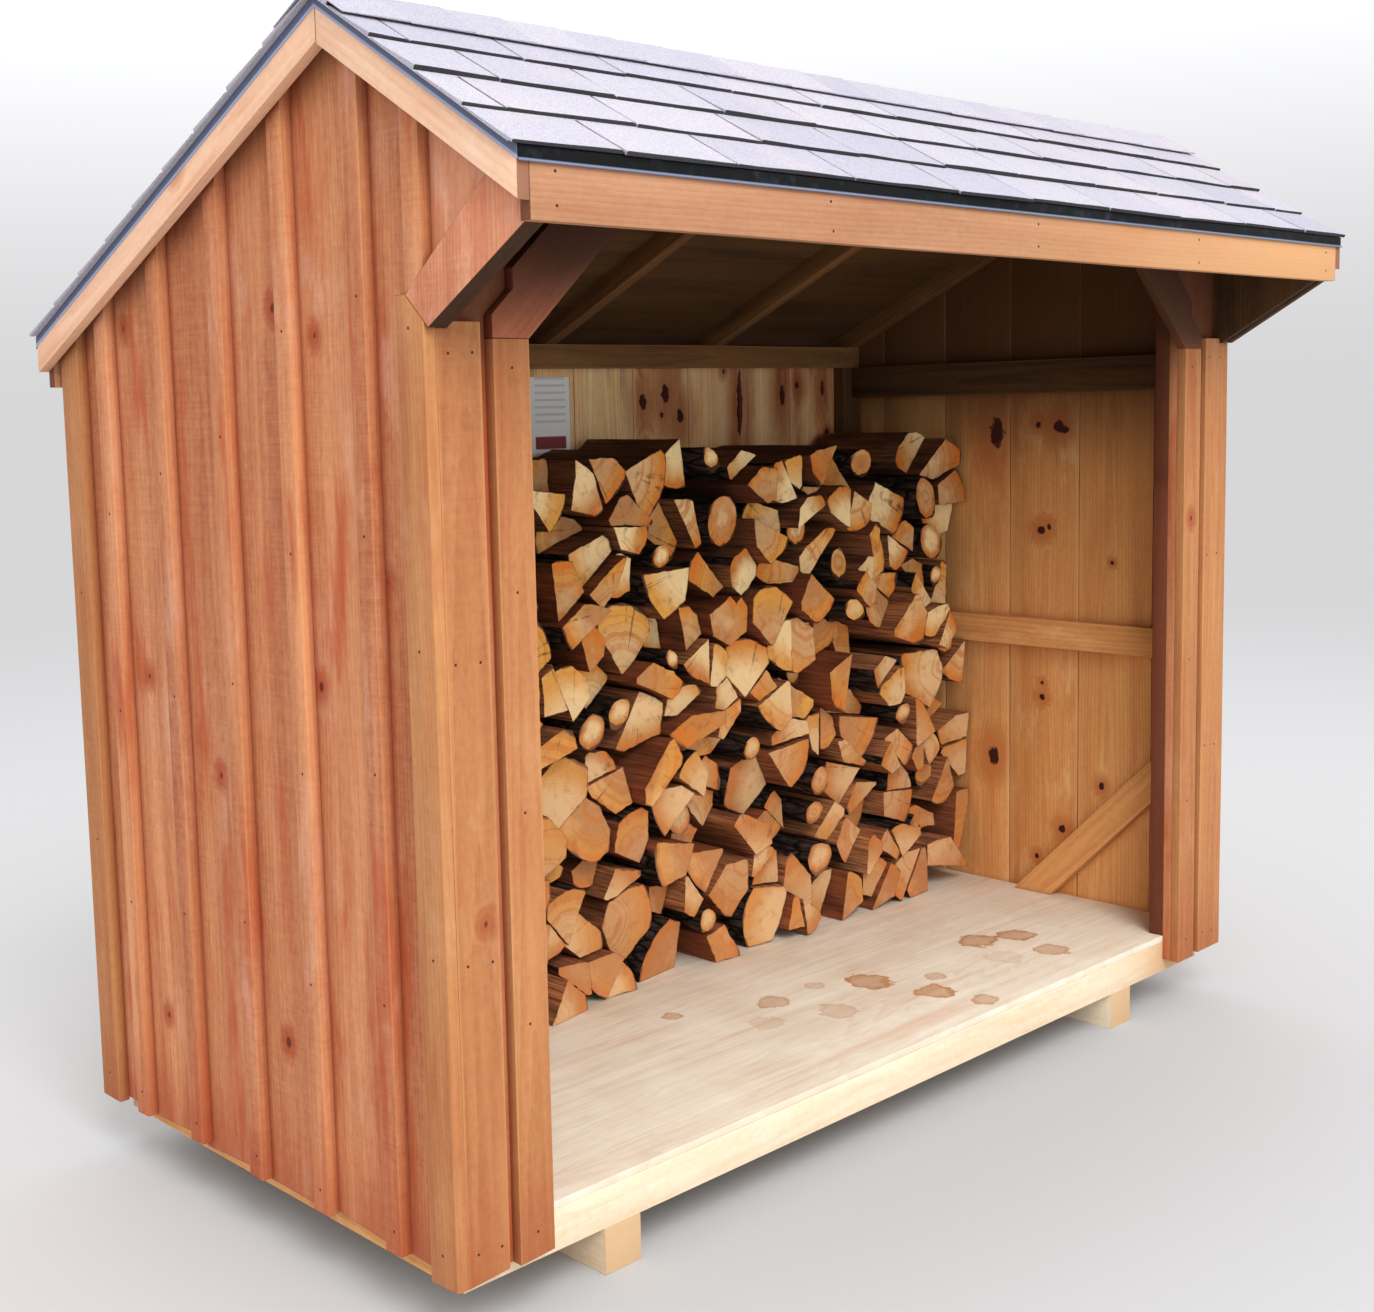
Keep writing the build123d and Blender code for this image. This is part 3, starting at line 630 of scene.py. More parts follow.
def add_sections(solid, along):
    """Cuts a board's faces into short lengths, so that it can bend a little."""
    low, high = extent(solid.verts, along)
    count = int((high - low) / section_length)
    for n in range(1, count + 1):
        geometry = solid.verts[:] + solid.edges[:] + solid.faces[:]
        place = along * (low + (high - low) * n / (count + 1))
        bmesh.ops.bisect_plane(solid, geom=geometry, plane_co=place, plane_no=along)


def weather(solid, along=None, broad=None, ragged=None):
    """Makes one board out of a squared solid: worn edges, a slight wave and its own grain."""
    long_way, face_way = sides_of(solid)
    along = along or long_way
    across = (broad or face_way).cross(along).normalized()
    deep = along.cross(across)
    if ragged:
        fray_foot(solid, across, ragged)
    wear_edges(solid)
    add_sections(solid, along)
    seat = Vector((draw.uniform(0, 90), draw.uniform(0, 90), draw.uniform(0, 90)))
    grain_shift = Vector((draw.uniform(-40, 40), draw.uniform(-0.05, 0.05), draw.uniform(0.03, 0.11)))
    tone = draw.random()
    centre = middle_of(solid)
    grain_layer = solid.verts.layers.float_vector.new("grain")
    tone_layer = solid.verts.layers.float.new("tone")
    span_layer = solid.verts.layers.float_vector.new("span")
    end_layer = solid.verts.layers.float.new("end")
    cut_ends = {vert for face in solid.faces if abs(face.normal.dot(along)) > 0.6 for vert in face.verts}
    half_width = max(abs((vert.co - centre).dot(across)) for vert in solid.verts)
    half_depth = max(abs((vert.co - centre).dot(deep)) for vert in solid.verts)
    for vert in solid.verts:
        local = vert.co - centre
        place = Vector((local.dot(along), local.dot(across), local.dot(deep)))
        vert[grain_layer] = place + grain_shift
        vert[tone_layer] = tone
        vert[span_layer] = (0, place.y / half_width, place.z / half_depth)
        vert[end_layer] = 1.0 if vert in cut_ends else 0.0
        ripple = noise.noise_vector(seat + Vector((place.x * 2.2, place.y * 9, place.z * 9)))
        vert.co += across * (ripple.x * board_waviness)
        vert.co.z = max(vert.co.z, 0.0)
    return solid


def add_object(name, data):
    made = bpy.data.objects.new(name, data)
    bpy.context.scene.collection.objects.link(made)
    return made


def to_piece(name, solids, materials, choose=None, smooth=30, replaced=None):
    """Joins solids into one object that rides on the frame. choose gives the number of a face's material."""
    mesh = bpy.data.meshes.new(name)
    joined = bmesh.new()
    for solid in solids:
        if choose:
            for face in solid.faces:
                face.material_index = int(choose(face))
        part = bpy.data.meshes.new("part")
        solid.to_mesh(part)
        joined.from_mesh(part)
        bpy.data.meshes.remove(part)
        solid.free()
    joined.to_mesh(mesh)
    joined.free()
    for material in materials:
        mesh.materials.append(material)
    mesh.shade_smooth()
    mesh.set_sharp_from_angle(angle=math.radians(smooth))
    piece = add_object(name, mesh)
    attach(piece, "root")
    if replaced:
        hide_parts(replaced)


def dress(name, slot, *materials, choose=None, **options):
    """Replaces a node of plain boards with weathered ones."""
    boards = [weather(solid, **options) for solid in node_solids(name)]
    to_piece(name + "_boards", boards, materials, choose, replaced=name)


# Timbers

def right_brace_in_shade(face):
    return face.calc_center_median().x > 0


# Painted shade: rail faces above the upper rail height take the dark wood
def upper_rail_in_shade(face):
    return face.calc_center_median().z > upper_rail_height


def wing_shading_side(face):
    """Chooses a wing's material: stained outside, the shade-darkened wood as painted shade on faces that look
    down, and the darkest as painted shade on the face that looks in.
    """
    if face.normal.x * face.calc_center_median().x < -0.3:
        return 2
    return 1 if face.normal.z < -0.35 else 0


unstained = (
    (pale, ("skids", "floor_rims")),
    (bare, ("floor_joists", "rear_wall_rail", "front_corner_studs", "side_wall_braces")),
    (shade_darkened_wood, ("front_header", "ridge_board", "rear_top_plate", "front_rafters", "rear_rafters")),
    (roof_shade_wood, ("front_sheathing", "rear_sheathing", "rear_corner_studs")),
)
for material, names in unstained:
    for name in names:
        dress(name, "bare_wood", material)
dress("header_board", "stained_wood", stained)
dress("knee_braces", "stained_wood", brace_wood, shaded_far_brace_wood, choose=right_brace_in_shade)
dress("side_wall_rails", "bare_wood", bare, roof_shade_wood, choose=upper_rail_in_shade)
for name in ("wing_trims", "wing_boards"):
    dress(name, "stained_wood", wing_wood, shade_darkened_wood, roof_shade_wood, choose=wing_shading_side, along=AXIS_Z, broad=AXIS_X)
dress("front_posts", "stained_wood", shaded_post_wood)
for name in ("left_wall_battens", "right_wall_battens", "rear_wall_battens", "upper_corner_battens"):
    dress(name, "stained_wood", siding_wood, ragged=foot_raggedness)
for name in ("front_corner_boards", "opening_trims", "side_corner_trims", "rear_corner_boards"):
    dress(name, "stained_wood", stained, ragged=foot_raggedness / 2)
for name in ("front_fascia", "rear_fascia"):
    dress(name, "stained_wood", fascia_wood)
for name in ("front_rake_boards", "rear_rake_boards"):
    dress(name, "stained_wood", rake_wood)

# Walls

def outward(normal):
    """Chooses the stained material, and the second one for faces that look into the store."""
    return lambda face: face.normal.dot(normal) <= -0.5


def middles(name, direction):
    """The middle of each of a node's solids along a direction, in order."""
    return sorted(sum(extent(solid.verts, direction)) / 2 for solid in node_solids(name))


def wall(name, direction, seams, out, inside):
    """One wall's sheet cut into boards at the middles of its battens, stained outside and bare inside."""
    boards = split_boards(node_solids(name)[0], direction, seams)
    boards = [weather(board, AXIS_Z, out, ragged=foot_raggedness) for board in boards]
    to_piece(name + "_boards", boards, [siding_wood, inside], outward(out), replaced=name)


side_seams = middles("left_wall_battens", AXIS_Y)
wall("left_wall_siding", AXIS_Y, side_seams, -AXIS_X, bare)
wall("right_wall_siding", AXIS_Y, side_seams, AXIS_X, right_bare)
wall("rear_wall_siding", AXIS_X, middles("rear_wall_battens", AXIS_X), AXIS_Y, rear_bare)
dress("pier_siding", "stained_wood", pier_wood, bare, choose=outward(-AXIS_Y), along=AXIS_Z, broad=-AXIS_Y)
dress("floor_deck", "bare_wood", deck_face())

# Nails

def nail_steel():
    """Dull steel with spots of rust."""
    s = Shader("nail_steel")
    colour = s.mix(s.noise(s.place(), 400.0, 2.0), srgb(74, 50, 42), srgb(36, 28, 28))
    return s.finish(colour, 0.6, specular=0.4, metallic=0.4)


def nail_head(place, out):
    """A low domed nail head on a face that looks along out."""
    head = bmesh.new()
    side = out.orthogonal().normalized()
    other = out.cross(side)
    circles = []
    for radius, height in nail_profile:
        circle = []
        for n in range(nail_sides):
            angle = math.tau * n / nail_sides
            spoke = side * math.cos(angle) + other * math.sin(angle)
            circle.append(head.verts.new(place + spoke * nail_radius * radius + out * nail_height * height))
        circles.append(circle)
    for low, high in zip(circles, circles[1:]):
        for n, m in round_trip(nail_sides):
            head.faces.new((low[n], low[m], high[m], high[n]))
    head.faces.new(circles[-1])
    head.faces.new(circles[0][::-1])
    return head


def nail_rows(name, out, spacing, rows):
    """Nail heads along the outer face of each board of a node, in rows given as shares of its width."""
    heads = []
    for solid in node_solids(name):
        along = sides_of(solid)[0]
        across = out.cross(along).normalized()
        faces = [face for face in solid.faces if face.normal.dot(out) > 0.9]
        face = max(faces, key=lambda f: f.calc_area())
        low, high = extent(face.verts, along)
        low, high = low + nail_margin, high - nail_margin
        left, right = extent(face.verts, across)
        count = max(1, round((high - low) / spacing))
        middle = face.calc_center_median()
        for n in range(count + 1):
            level = low + (high - low) * n / count - middle.dot(along)
            for row in rows:
                step = level + nail_draw.uniform(-1, 1) * nail_drift
                shift = row * (right - left) + nail_draw.uniform(-1, 1) * nail_drift
                heads.append(nail_head(middle + along * step + across * shift, face.normal.copy()))
        solid.free()
    return heads


# Node, the way its nailed face looks, spacing, rows, and the number of heads that show if not all do
nailed = (
    ("left_wall_battens", -AXIS_X, 0.42, one_row, None), ("right_wall_battens", AXIS_X, 0.42, one_row, None),
    ("side_corner_trims", -AXIS_X, 0.45, one_row, left_trim_nails),
    ("rear_wall_battens", AXIS_Y, 0.42, one_row, None), ("rear_corner_boards", AXIS_Y, 0.45, two_rows, None),
    ("front_corner_boards", -AXIS_Y, 0.45, two_rows, None), ("opening_trims", -AXIS_Y, 0.4, one_row, None),
    ("front_fascia", -AXIS_Y, 0.6, two_rows, None), ("rear_fascia", AXIS_Y, 0.6, two_rows, None),
    ("floor_rims", -AXIS_Y, 0.4, two_rows, front_rim_nails), ("floor_deck", AXIS_Z, 0.35, rear_row, None),
)
heads = []
for name, out, spacing, rows, shown in nailed:
    heads += nail_rows(name, out, spacing, rows)[:shown]
to_piece("nail_heads", heads, [nail_steel()])

# Shingles

def left_end(name):
    """A roof node's points at its left end."""
    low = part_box(name)[0]
    return [vert.co for vert in nodes[name].data.vertices if vert.co.x < low.x + 1e-4]


def slope_frame(name):
    """The eave and ridge points of a shingled slope's underside, on its left end, and its length."""
    low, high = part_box(name)
    sides = (low.y, high.y) if name.startswith("front") else (high.y, low.y)
    ends = left_end(name)
    eave, ridge = (min((p for p in ends if abs(p.y - y) < 1e-4), key=lambda p: p.z) for y in sides)
    return eave.copy(), ridge.copy(), high.x - low.x


def plate(corners, thick_low, thick_high, normal, counts, rough, pick):
    """A thin sheet on four corners, thicker at its lower edge, with a slightly uneven top."""
    solid = bmesh.new()
    near_left, near_right, far_right, far_left = corners
    columns, rows = counts
    top, base = [], []
    for j in range(rows + 1):
        t = j / rows
        for i in range(columns + 1):
            s = i / columns
            place = near_left.lerp(near_right, s).lerp(far_left.lerp(far_right, s), t)
            wave = noise.noise(Vector((place.x * 9 + pick * 31, place.y * 9, pick * 17))) * rough
            height = thick_low + (thick_high - thick_low) * t + wave * (1 - t)
            top.append(solid.verts.new(place + normal * height))
            base.append(solid.verts.new(place))
    wide = columns + 1

    def quad(grid, i, j, flip):
        loop = [grid[y * wide + x] for x, y in ((i, j), (i + 1, j), (i + 1, j + 1), (i, j + 1))]
        solid.faces.new(loop[::-1] if flip else loop)

    for j in range(rows):
        for i in range(columns):
            quad(top, i, j, False)
            quad(base, i, j, True)
    ring = [(i, 0) for i in range(columns)] + [(columns, j) for j in range(rows)]
    ring += [(i, rows) for i in range(columns, 0, -1)] + [(0, j) for j in range(rows, 0, -1)]
    for a, b in edges_of(ring):
        ends = [grid[y * wide + x] for grid, (x, y) in ((base, a), (base, b), (top, b), (top, a))]
        solid.faces.new(ends)
    bmesh.ops.recalc_face_normals(solid, faces=solid.faces)
    rims = [e for e in solid.edges if e.calc_face_angle(0) > math.radians(50)]
    bmesh.ops.bevel(solid, geom=rims, offset=plate_wear, segments=1, affect="EDGES")
    tone = solid.verts.layers.float.new("tone")
    seat = solid.verts.layers.float_vector.new("grain")
    for vert in solid.verts:
        vert[tone] = pick
        vert[seat] = vert.co
    return solid


def shingle_slope(name):
    """Lapped strips of shingles on one slope, slotted into tabs, over a thin base sheet."""
    eave, ridge, length = slope_frame(name)
    along = (ridge - eave).normalized()
    normal = AXIS_X.cross(along) if along.y > 0 else along.cross(AXIS_X)
    eave = eave + along * eave_set_back
    span = (ridge - eave).length
    lift = normal * (base_sheet * 0.9)

    def point(across, up):
        return eave + AXIS_X * across + along * up

    corners = (point(0, base_set_back), point(length, base_set_back), ridge + AXIS_X * length, ridge)
    solids = [plate(corners, base_sheet, base_sheet, normal, (1, 1), 0, base_tone)]
    for course in range(math.ceil(span / shingle_exposure)):
        low = course * shingle_exposure
        high = min(low + shingle_exposure, span)
        left = 0.0
        width = tab_width * draw.uniform(*first_tab)
        while left < length:
            right = min(left + width, length)
            if length - right < tab_width * least_tab:
                right = length
            left_foot, right_foot = (low + draw.uniform(0, tab_unevenness) for _ in range(2))
            left_edge = left + (slot_width / 2 if left else 0)
            right_edge = right - (slot_width / 2 if right < length else 0)
            corners = (
                point(left_edge, left_foot), point(right_edge, right_foot),
                point(right_edge, high), point(left_edge, high),
            )
            thick = shingle_butt - base_sheet - draw.uniform(*tab_thinning)
            corners = [corner + lift for corner in corners]
            solids.append(plate(corners, thick, tab_top, normal, (7, 3), tab_roughness, draw.random()))
            if right < length:
                half = AXIS_X * (slot_width * 0.6)
                foot = point(right, right_foot + 0.001) + lift
                head = point(right, high) + lift
                corners = (foot - half, foot + half, head + half, head - half)
                groove = plate(corners, thick - slot_depth, slot_top, normal, (1, 3), 0, slot_tone)
                for face in groove.faces:
                    face.material_index = 1
                solids.append(groove)
            left = right
            width = tab_width * draw.uniform(*tab_spread)

    # Butts and slot grooves take the darkened granules: painted shade under each course and in the slots,
    # along with the darker granules and cut edge they really have
    def dark(face):
        return face.material_index or face.normal.dot(along) < -0.6

    to_piece(name + "_tabs", solids, [shingle, shingle_shade_edge], dark, replaced=name)


def ridge_caps():
    """Bent cap shingles along the ridge."""
    low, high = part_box("ridge_cap")
    ends = left_end("ridge_cap")
    peak = max(ends, key=lambda p: p.z)
    front_low = min((p for p in ends if p.y < peak.y - 0.01), key=lambda p: p.z)
    rear_low = min((p for p in ends if p.y > peak.y + 0.01), key=lambda p: p.z)
    top = Vector((0, peak.y, peak.z - cap_thickness - cap_gap))
    length = high.x - low.x
    count = round(length / cap_exposure)
    solids = []
    for n in range(count):
        start = AXIS_X * (low.x + length * n / count)
        end = AXIS_X * (low.x + length * (n + 1) / count)
        for foot in (front_low, rear_low):
            side = Vector((0, foot.y, foot.z))
            slope = (side - top).normalized()
            outer = AXIS_X.cross(slope)
            if outer.z < 0:
                outer.negate()
            jitter = slope * -draw.uniform(0, cap_drift)
            side = side + outer * cap_lift
            corners = (top + end, side + end + jitter, side + start + jitter, top + start)
            solids.append(plate(corners, cap_low, cap_high, outer, (3, 3), cap_roughness, draw.random()))
    to_piece("ridge_cap_tabs", solids, [shingle], replaced="ridge_cap")


# Firewood

def clip(points, place, outward):
    """Keeps the part of a convex outline that lies behind a line through place."""
    kept = []
    for a, b in edges_of(points):
        side_a = (a - place).dot(outward)
        side_b = (b - place).dot(outward)
        if side_a <= 0:
            kept.append(a)
        if side_a * side_b < 0:
            kept.append(a.lerp(b, side_a / (side_a - side_b)))
    return kept


def trimmed(points, place, outward):
    """A clipped outline, but one that would vanish stays as it was."""
    kept = clip(points, place, outward)
    return kept if len(kept) > 2 else points


def centre_of(points):
    return sum(points, Vector((0, 0))) / len(points)


def turned(direction, angle):
    """A flat direction turned by an angle."""
    cosine, sine = math.cos(angle), math.sin(angle)
    return Vector((direction.x * cosine - direction.y * sine, direction.x * sine + direction.y * cosine))


def shrink(points, amount):
    """Moves each edge of an outline inwards by its own random amount, less where the log rests."""
    centre = centre_of(points)
    result = points
    for a, b in edges_of(points):
        if (b - a).length < 1e-5:
            continue
        outward = Vector((b.y - a.y, a.x - b.x)).normalized()
        if outward.dot(centre - a) > 0:
            outward.negate()
        share = 0.3 if outward.y < -0.3 else 1.0
        result = trimmed(result, a - outward * log_draw.uniform(0.05, 1) * amount * share, outward)
    return result


def resample(points, spacing):
    """Even steps along an outline, with its corners kept."""
    result = []
    for a, b in edges_of(points):
        steps = max(1, round((b - a).length / spacing))
        result += [a.lerp(b, n / steps) for n in range(steps)]
    return result


def wedge(points, heart, opening):
    """The part of an outline between two lines from its heart, as a log splits."""
    middle = (centre_of(points) - heart).normalized()
    lean = log_draw.uniform(-0.2, 0.2)
    tip = heart - middle * tip_depth
    left = turned(middle, opening / 2 + lean)
    right = turned(middle, -opening / 2 + lean)
    result = trimmed(points, tip, turned(left, math.pi / 2))
    return trimmed(result, tip, turned(right, -math.pi / 2))


def slab(points):
    """An outline with one or two sides split off straight."""
    centre = centre_of(points)
    outward = turned(Vector((1, 0)), log_draw.uniform(0, math.tau))
    result = trimmed(points, centre + outward * log_draw.uniform(0.018, 0.045), outward)
    if log_draw.random() < 0.5:
        outward = turned(outward, math.pi + log_draw.uniform(-0.5, 0.5))
        result = trimmed(result, centre + outward * log_draw.uniform(0.02, 0.04), outward)
    return result


def rounded(points):
    """A whole branch: nearly round, with a little of its cell's shape left."""
    centre = centre_of(points)
    outline = resample(points, log_step)
    reaches = [(p - centre).length for p in outline]
    even = min(reaches) * 0.75 + sum(reaches) / len(reaches) * 0.25
    even *= log_draw.uniform(0.72, 1.0)
    outline = [centre + (p - centre) * (even / (p - centre).length * 0.8 + 0.17) for p in outline]
    return outline, centre, even, [True] * len(outline)


def area_of(points):
    return abs(sum(a.x * b.y - b.x * a.y for a, b in edges_of(points))) / 2


def halves(cell):
    """A large cell shared by two split logs that lie together."""
    centre = centre_of(cell)
    farthest = max(cell, key=lambda p: (p - centre).length)
    across = turned((farthest - centre).normalized(), log_draw.uniform(-0.6, 0.6))
    place = centre + across * log_draw.uniform(-0.01, 0.01)
    return [trimmed(cell, place, across), trimmed(cell, place, -across)]


def sharpest(points):
    """The corner of an outline with the smallest angle."""
    def bend(n):
        before = (points[n - 1] - points[n]).normalized()
        after = (points[(n + 1) % len(points)] - points[n]).normalized()
        return before.dot(after)

    return points[max(range(len(points)), key=bend)]


def log_shape(points):
    """Outline, heart, outer radius and bark marks of one log that fits in a cell."""
    kind = log_draw.random()
    points = shrink(points, log_inset)
    centre = centre_of(points)
    if kind < round_share:
        return rounded(points)
    if kind < round_share + quarter_share:
        heart = sharpest(points)
        points = wedge(points, heart, log_draw.uniform(*quarter_opening))
        reach_share = log_draw.uniform(0.78, 0.95)
    elif kind < round_share + quarter_share + half_share:
        corner = log_draw.randrange(len(points))
        heart = points[corner].lerp(points[corner - 1], log_draw.uniform(0.35, 0.65))
        points = wedge(points, heart, log_draw.uniform(*half_opening))
        reach_share = log_draw.uniform(0.74, 0.92)
    else:
        heart = centre + (log_draw.choice(points) - centre) * log_draw.uniform(1.6, 2.6)
        points = slab(points)
        reach_share = log_draw.uniform(0.93, 1.02)
    outline = resample(points, log_step)
    reaches = [(p - heart).length for p in outline]
    radius = min(reaches) + (max(reaches) - min(reaches)) * reach_share
    bark = []
    for n, p in enumerate(outline):
        reach = reaches[n]
        bark.append(reach > radius)
        if reach > radius:
            outline[n] = heart + (p - heart) * (radius / reach)
        else:
            torn = noise.noise_vector(Vector((p.x * 55, p.y * 55, heart.x * 9)))
            outline[n] = p + (heart - p).normalized() * abs(torn.x) * tear_depth
    return outline, heart, radius, bark


def build_log(cell, front, rear):
    """One split or round log: a sawn and tilted front end, and sides with fibres or bark."""
    outline, heart, radius, bark = log_shape(cell)
    centre = centre_of(outline)
    tilt = Vector((log_draw.uniform(-1, 1), log_draw.uniform(-1, 1))) * end_tilt
    back_by = log_draw.uniform(0, end_unevenness)
    if log_draw.random() < set_back_share:
        back_by = log_draw.uniform(0.02, deepest_set_back)
    front += back_by
    count = len(outline)
    seat = log_draw.uniform(0, 50)
    solid = bmesh.new()
    ring = solid.verts.layers.float_vector.new("ring")
    kind = solid.verts.layers.float_vector.new("kind")
    rim = solid.verts.layers.float.new("rim")
    marks = (log_draw.random(), log_draw.random(), radius)
    reach = rear - front
    stations = log_sections + (reach * 0.8, reach)

    def point(place, y, sway=True, deeper=0.0):
        offset = place - centre
        lean = offset.dot(tilt) * max(0.0, 1 - (y - front) / reach)
        spot = Vector((place.x, min(rear, max(front, y + tilt.length * 0.06 + lean)) + deeper, place.y))
        if sway:
            rough = noise.noise(Vector((spot.x * 42 + seat, spot.y * 3.5, spot.z * 42)))
            rough += 0.5 * noise.noise(Vector((spot.x * 110, spot.y * 9, spot.z * 110 + seat)))
            outward = offset.normalized() if offset.length else offset
            shift = outward * (rough - 0.5) * log_roughness
            spot += Vector((shift.x, 0, shift.y))
        vert = solid.verts.new(spot)
        vert[ring] = Vector((place.x - heart.x, y, place.y - heart.y))
        vert[kind] = Vector(marks)
        return vert

    sections = [[point(place, front + station) for place in outline] for station in stations]
    for first, second in zip(sections, sections[1:]):
        for n, m in round_trip(count):
            face = solid.faces.new((first[n], second[n], second[m], first[m]))
            face.material_index = 2 if bark[n] and bark[m] else 1
    inner = sections[0]
    for vert in inner:
        vert[rim] = 1.0
    for share in (0.92, 0.5):
        row = []
        for place in outline:
            bumpy = abs(noise.noise(Vector((place.x * 45, seat, place.y * 45)))) * end_roughness
            row.append(point(centre.lerp(place, share), front, False, bumpy))
        for n, m in round_trip(count):
            solid.faces.new((inner[n], inner[m], row[m], row[n])).material_index = 0
        inner = row
    middle = point(centre, front, False)
    back = point(centre, rear, False)
    for n, m in round_trip(count):
        solid.faces.new((inner[n], inner[m], middle)).material_index = 0
        solid.faces.new((sections[-1][m], sections[-1][n], back)).material_index = 0
    bmesh.ops.recalc_face_normals(solid, faces=solid.faces)
    return solid


def firewood(name):
    """Turns the prisms of one part of the stack into logs."""
    logs = []
    for prism in node_solids(name):
        face = min(prism.faces, key=lambda f: f.calc_center_median().y)
        cell = [Vector((vert.co.x, vert.co.z)) for vert in face.verts]
        depths = extent(prism.verts, AXIS_Y)
        shared = area_of(cell) > pair_area and log_draw.random() < pair_share
        for outline in halves(cell) if shared else [cell]:
            logs.append(build_log(outline, *depths))
        prism.free()
    to_piece(name + "_logs", logs, [log_end, log_split, log_bark], smooth=38, replaced=name)


# Firewood materials. "ring" holds each point's place from the log's heart, "kind" two draws and the radius

def end_grain():
    """Sawn end: pale heart, golden bands, an orange rim under the bark, checks and faint rings."""
    s = Shader("log_end")
    tone, hue, radius = s.split(s.attribute("kind"))
    across, _, up = s.split(s.attribute("ring"))
    flat = s.join(across, up)
    distance = s.around(s.noise(flat, 16.0), 0.034, s.reach(flat))
    share = s.math("DIVIDE", distance, radius)
    heart = s.mix(s.ramp(tone, 0.1, 0.9), srgb(246, 216, 160), srgb(186, 132, 82))
    gold = s.mix(hue, srgb(228, 164, 74), srgb(192, 122, 58))
    colour = s.mix(s.ramp(share, 0.4, 0.88), heart, gold)
    lines = s.ramp(s.waves(distance, 200.0), 0.0, 1.0)
    colour = s.mix(s.times(lines, 0.2), colour, srgb(150, 90, 44))
    band = s.ramp(s.noise(s.join(distance, tone, hue), 78.0, 1.0), 0.53, 0.62, 0.0, 0.62)
    colour = s.mix(s.times(band, s.ramp(tone, 0.15, 0.45)), colour, srgb(192, 112, 46))
    rim = s.times(s.ramp(share, 0.8, 0.9), s.ramp(hue, 0.2, 0.4))
    colour = s.mix(s.times(rim, 0.75), colour, srgb(206, 112, 38))
    colour = s.veil(colour, share, 0.945, 0.98, 1.0, srgb(62, 36, 22))
    cloud = s.noise(flat, 34.0, 5.0, 0.6)
    colour = s.veil(colour, cloud, 0.5, 0.78, 0.7, srgb(142, 88, 52))
    pale_spots = s.streaky(flat, (12.0, 12.0, 1.0), shift=(4, 4, 4))
    colour = s.veil(colour, pale_spots, 0.52, 0.75, 0.35, srgb(240, 214, 164))
    turn = s.join(s.math("ARCTAN2", up, across), tone, s.times(hue, 9.0))
    sector = s.math("ABSOLUTE", s.minus(s.noise(turn, 3.0, 1.0), 0.5))
    check = s.times(s.ramp(sector, 0.0, 0.008, 0.75, 0.0), s.ramp(share, 0.2, 0.5))
    check = s.times(check, s.ramp(cloud, 0.42, 0.56))
    colour = s.mix(check, colour, srgb(84, 48, 28))
    height = s.muladd(tone, 0.35, s.height())
    colour = s.mix(s.ramp(height, 0.55, 1.25, 0.55, 0.0), colour, srgb(172, 110, 70))
    colour = s.veil(colour, s.attribute("rim", "Fac"), 0.15, 1.0, 0.55, srgb(96, 54, 30))
    saw = s.streaky(flat, (40.0, 420.0, 1.0))
    relief = s.muladd(lines, 0.3, s.minus(saw, check))
    return s.finish(colour, 0.8, s.bump(relief, 0.5, 0.0012), 0.2)


def split_side():
    """Torn red-brown fibres along a log, with painted shade darkening them towards the top of the stack."""
    s = Shader("log_split")
    ring = s.attribute("ring")
    tone = s.split(s.attribute("kind"))[0]
    fibre = s.streaky(ring, (190.0, 7.0, 190.0), 5.0, 0.65)
    light = s.mix(s.ramp(tone, 0.3, 0.9), srgb(196, 132, 86), srgb(150, 84, 52))
    colour = s.veil(light, fibre, 0.3, 0.7, 1.0, srgb(104, 54, 34))
    colour = s.veil(colour, s.streaky(ring, (16.0, 4.0, 16.0)), 0.45, 0.72, 0.7, srgb(62, 32, 23))
    # Painted shade towards the top of the stack, under the roof
    colour = s.veil(colour, s.height(), 0.9, 1.45, 0.62, srgb(38, 22, 17))
    return s.finish(colour, 0.85, s.bump(fibre, 0.8, 0.002), 0.15)


def bark_side():
    """Dark furrowed bark with grey scales."""
    s = Shader("log_bark")
    cell = s.scaled(s.attribute("ring"), (70.0, 16.0, 70.0))
    furrow = s.noise(cell, 1.0, 6.0, 0.7, 0.6)
    inputs = {"Vector": cell, "Scale": 0.6}
    cracks = s.add("ShaderNodeTexVoronoi", inputs, feature="DISTANCE_TO_EDGE").outputs[0]
    colour = s.mix(s.ramp(furrow, 0.35, 0.7), srgb(28, 20, 17), srgb(84, 66, 56))
    colour = s.mix(s.ramp(cracks, 0.0, 0.12, 1.0, 0.0), colour, srgb(16, 11, 10))
    height = s.math("ADD", furrow, s.ramp(cracks, 0.0, 0.2))
    return s.finish(colour, 0.95, s.bump(height, 1.0, 0.004), 0.1)


# Roof edges, shingles and the card

def granules(name, shade, contrast):
    """Mineral granules on felt. Each tab has its own tone, with faint streaks down the slope."""
    def tint(red, green, blue):
        return srgb(red * shade, green * shade, blue * shade)

    s = Shader(name)
    place = s.attribute("grain")
    colour = s.mix(s.attribute("tone", "Fac"), tint(184, 180, 188), tint(170, 168, 180))
    warm = s.streaky(place, (4.0, 4.0, 4.0), 1.0)
    colour = s.veil(colour, warm, 0.55, 0.7, 0.35, tint(196, 184, 188))
    grit = s.noise(place, 520.0, 2.0, 0.7)
    colour = s.veil(colour, grit, 0.42, 0.7, contrast, tint(110, 108, 124))
    chips = s.add("ShaderNodeTexVoronoi", {"Vector": place, "Scale": 380.0}).outputs["Color"]
    colour = s.mix(0.16, colour, chips, "OVERLAY")
    colour = s.veil(colour, s.streaky(place, (34.0, 3.0, 3.0)), 0.55, 0.8, 0.25, tint(150, 148, 158))
    return s.finish(colour, 0.92, s.bump(grit, 0.6, 0.0012), 0.2)


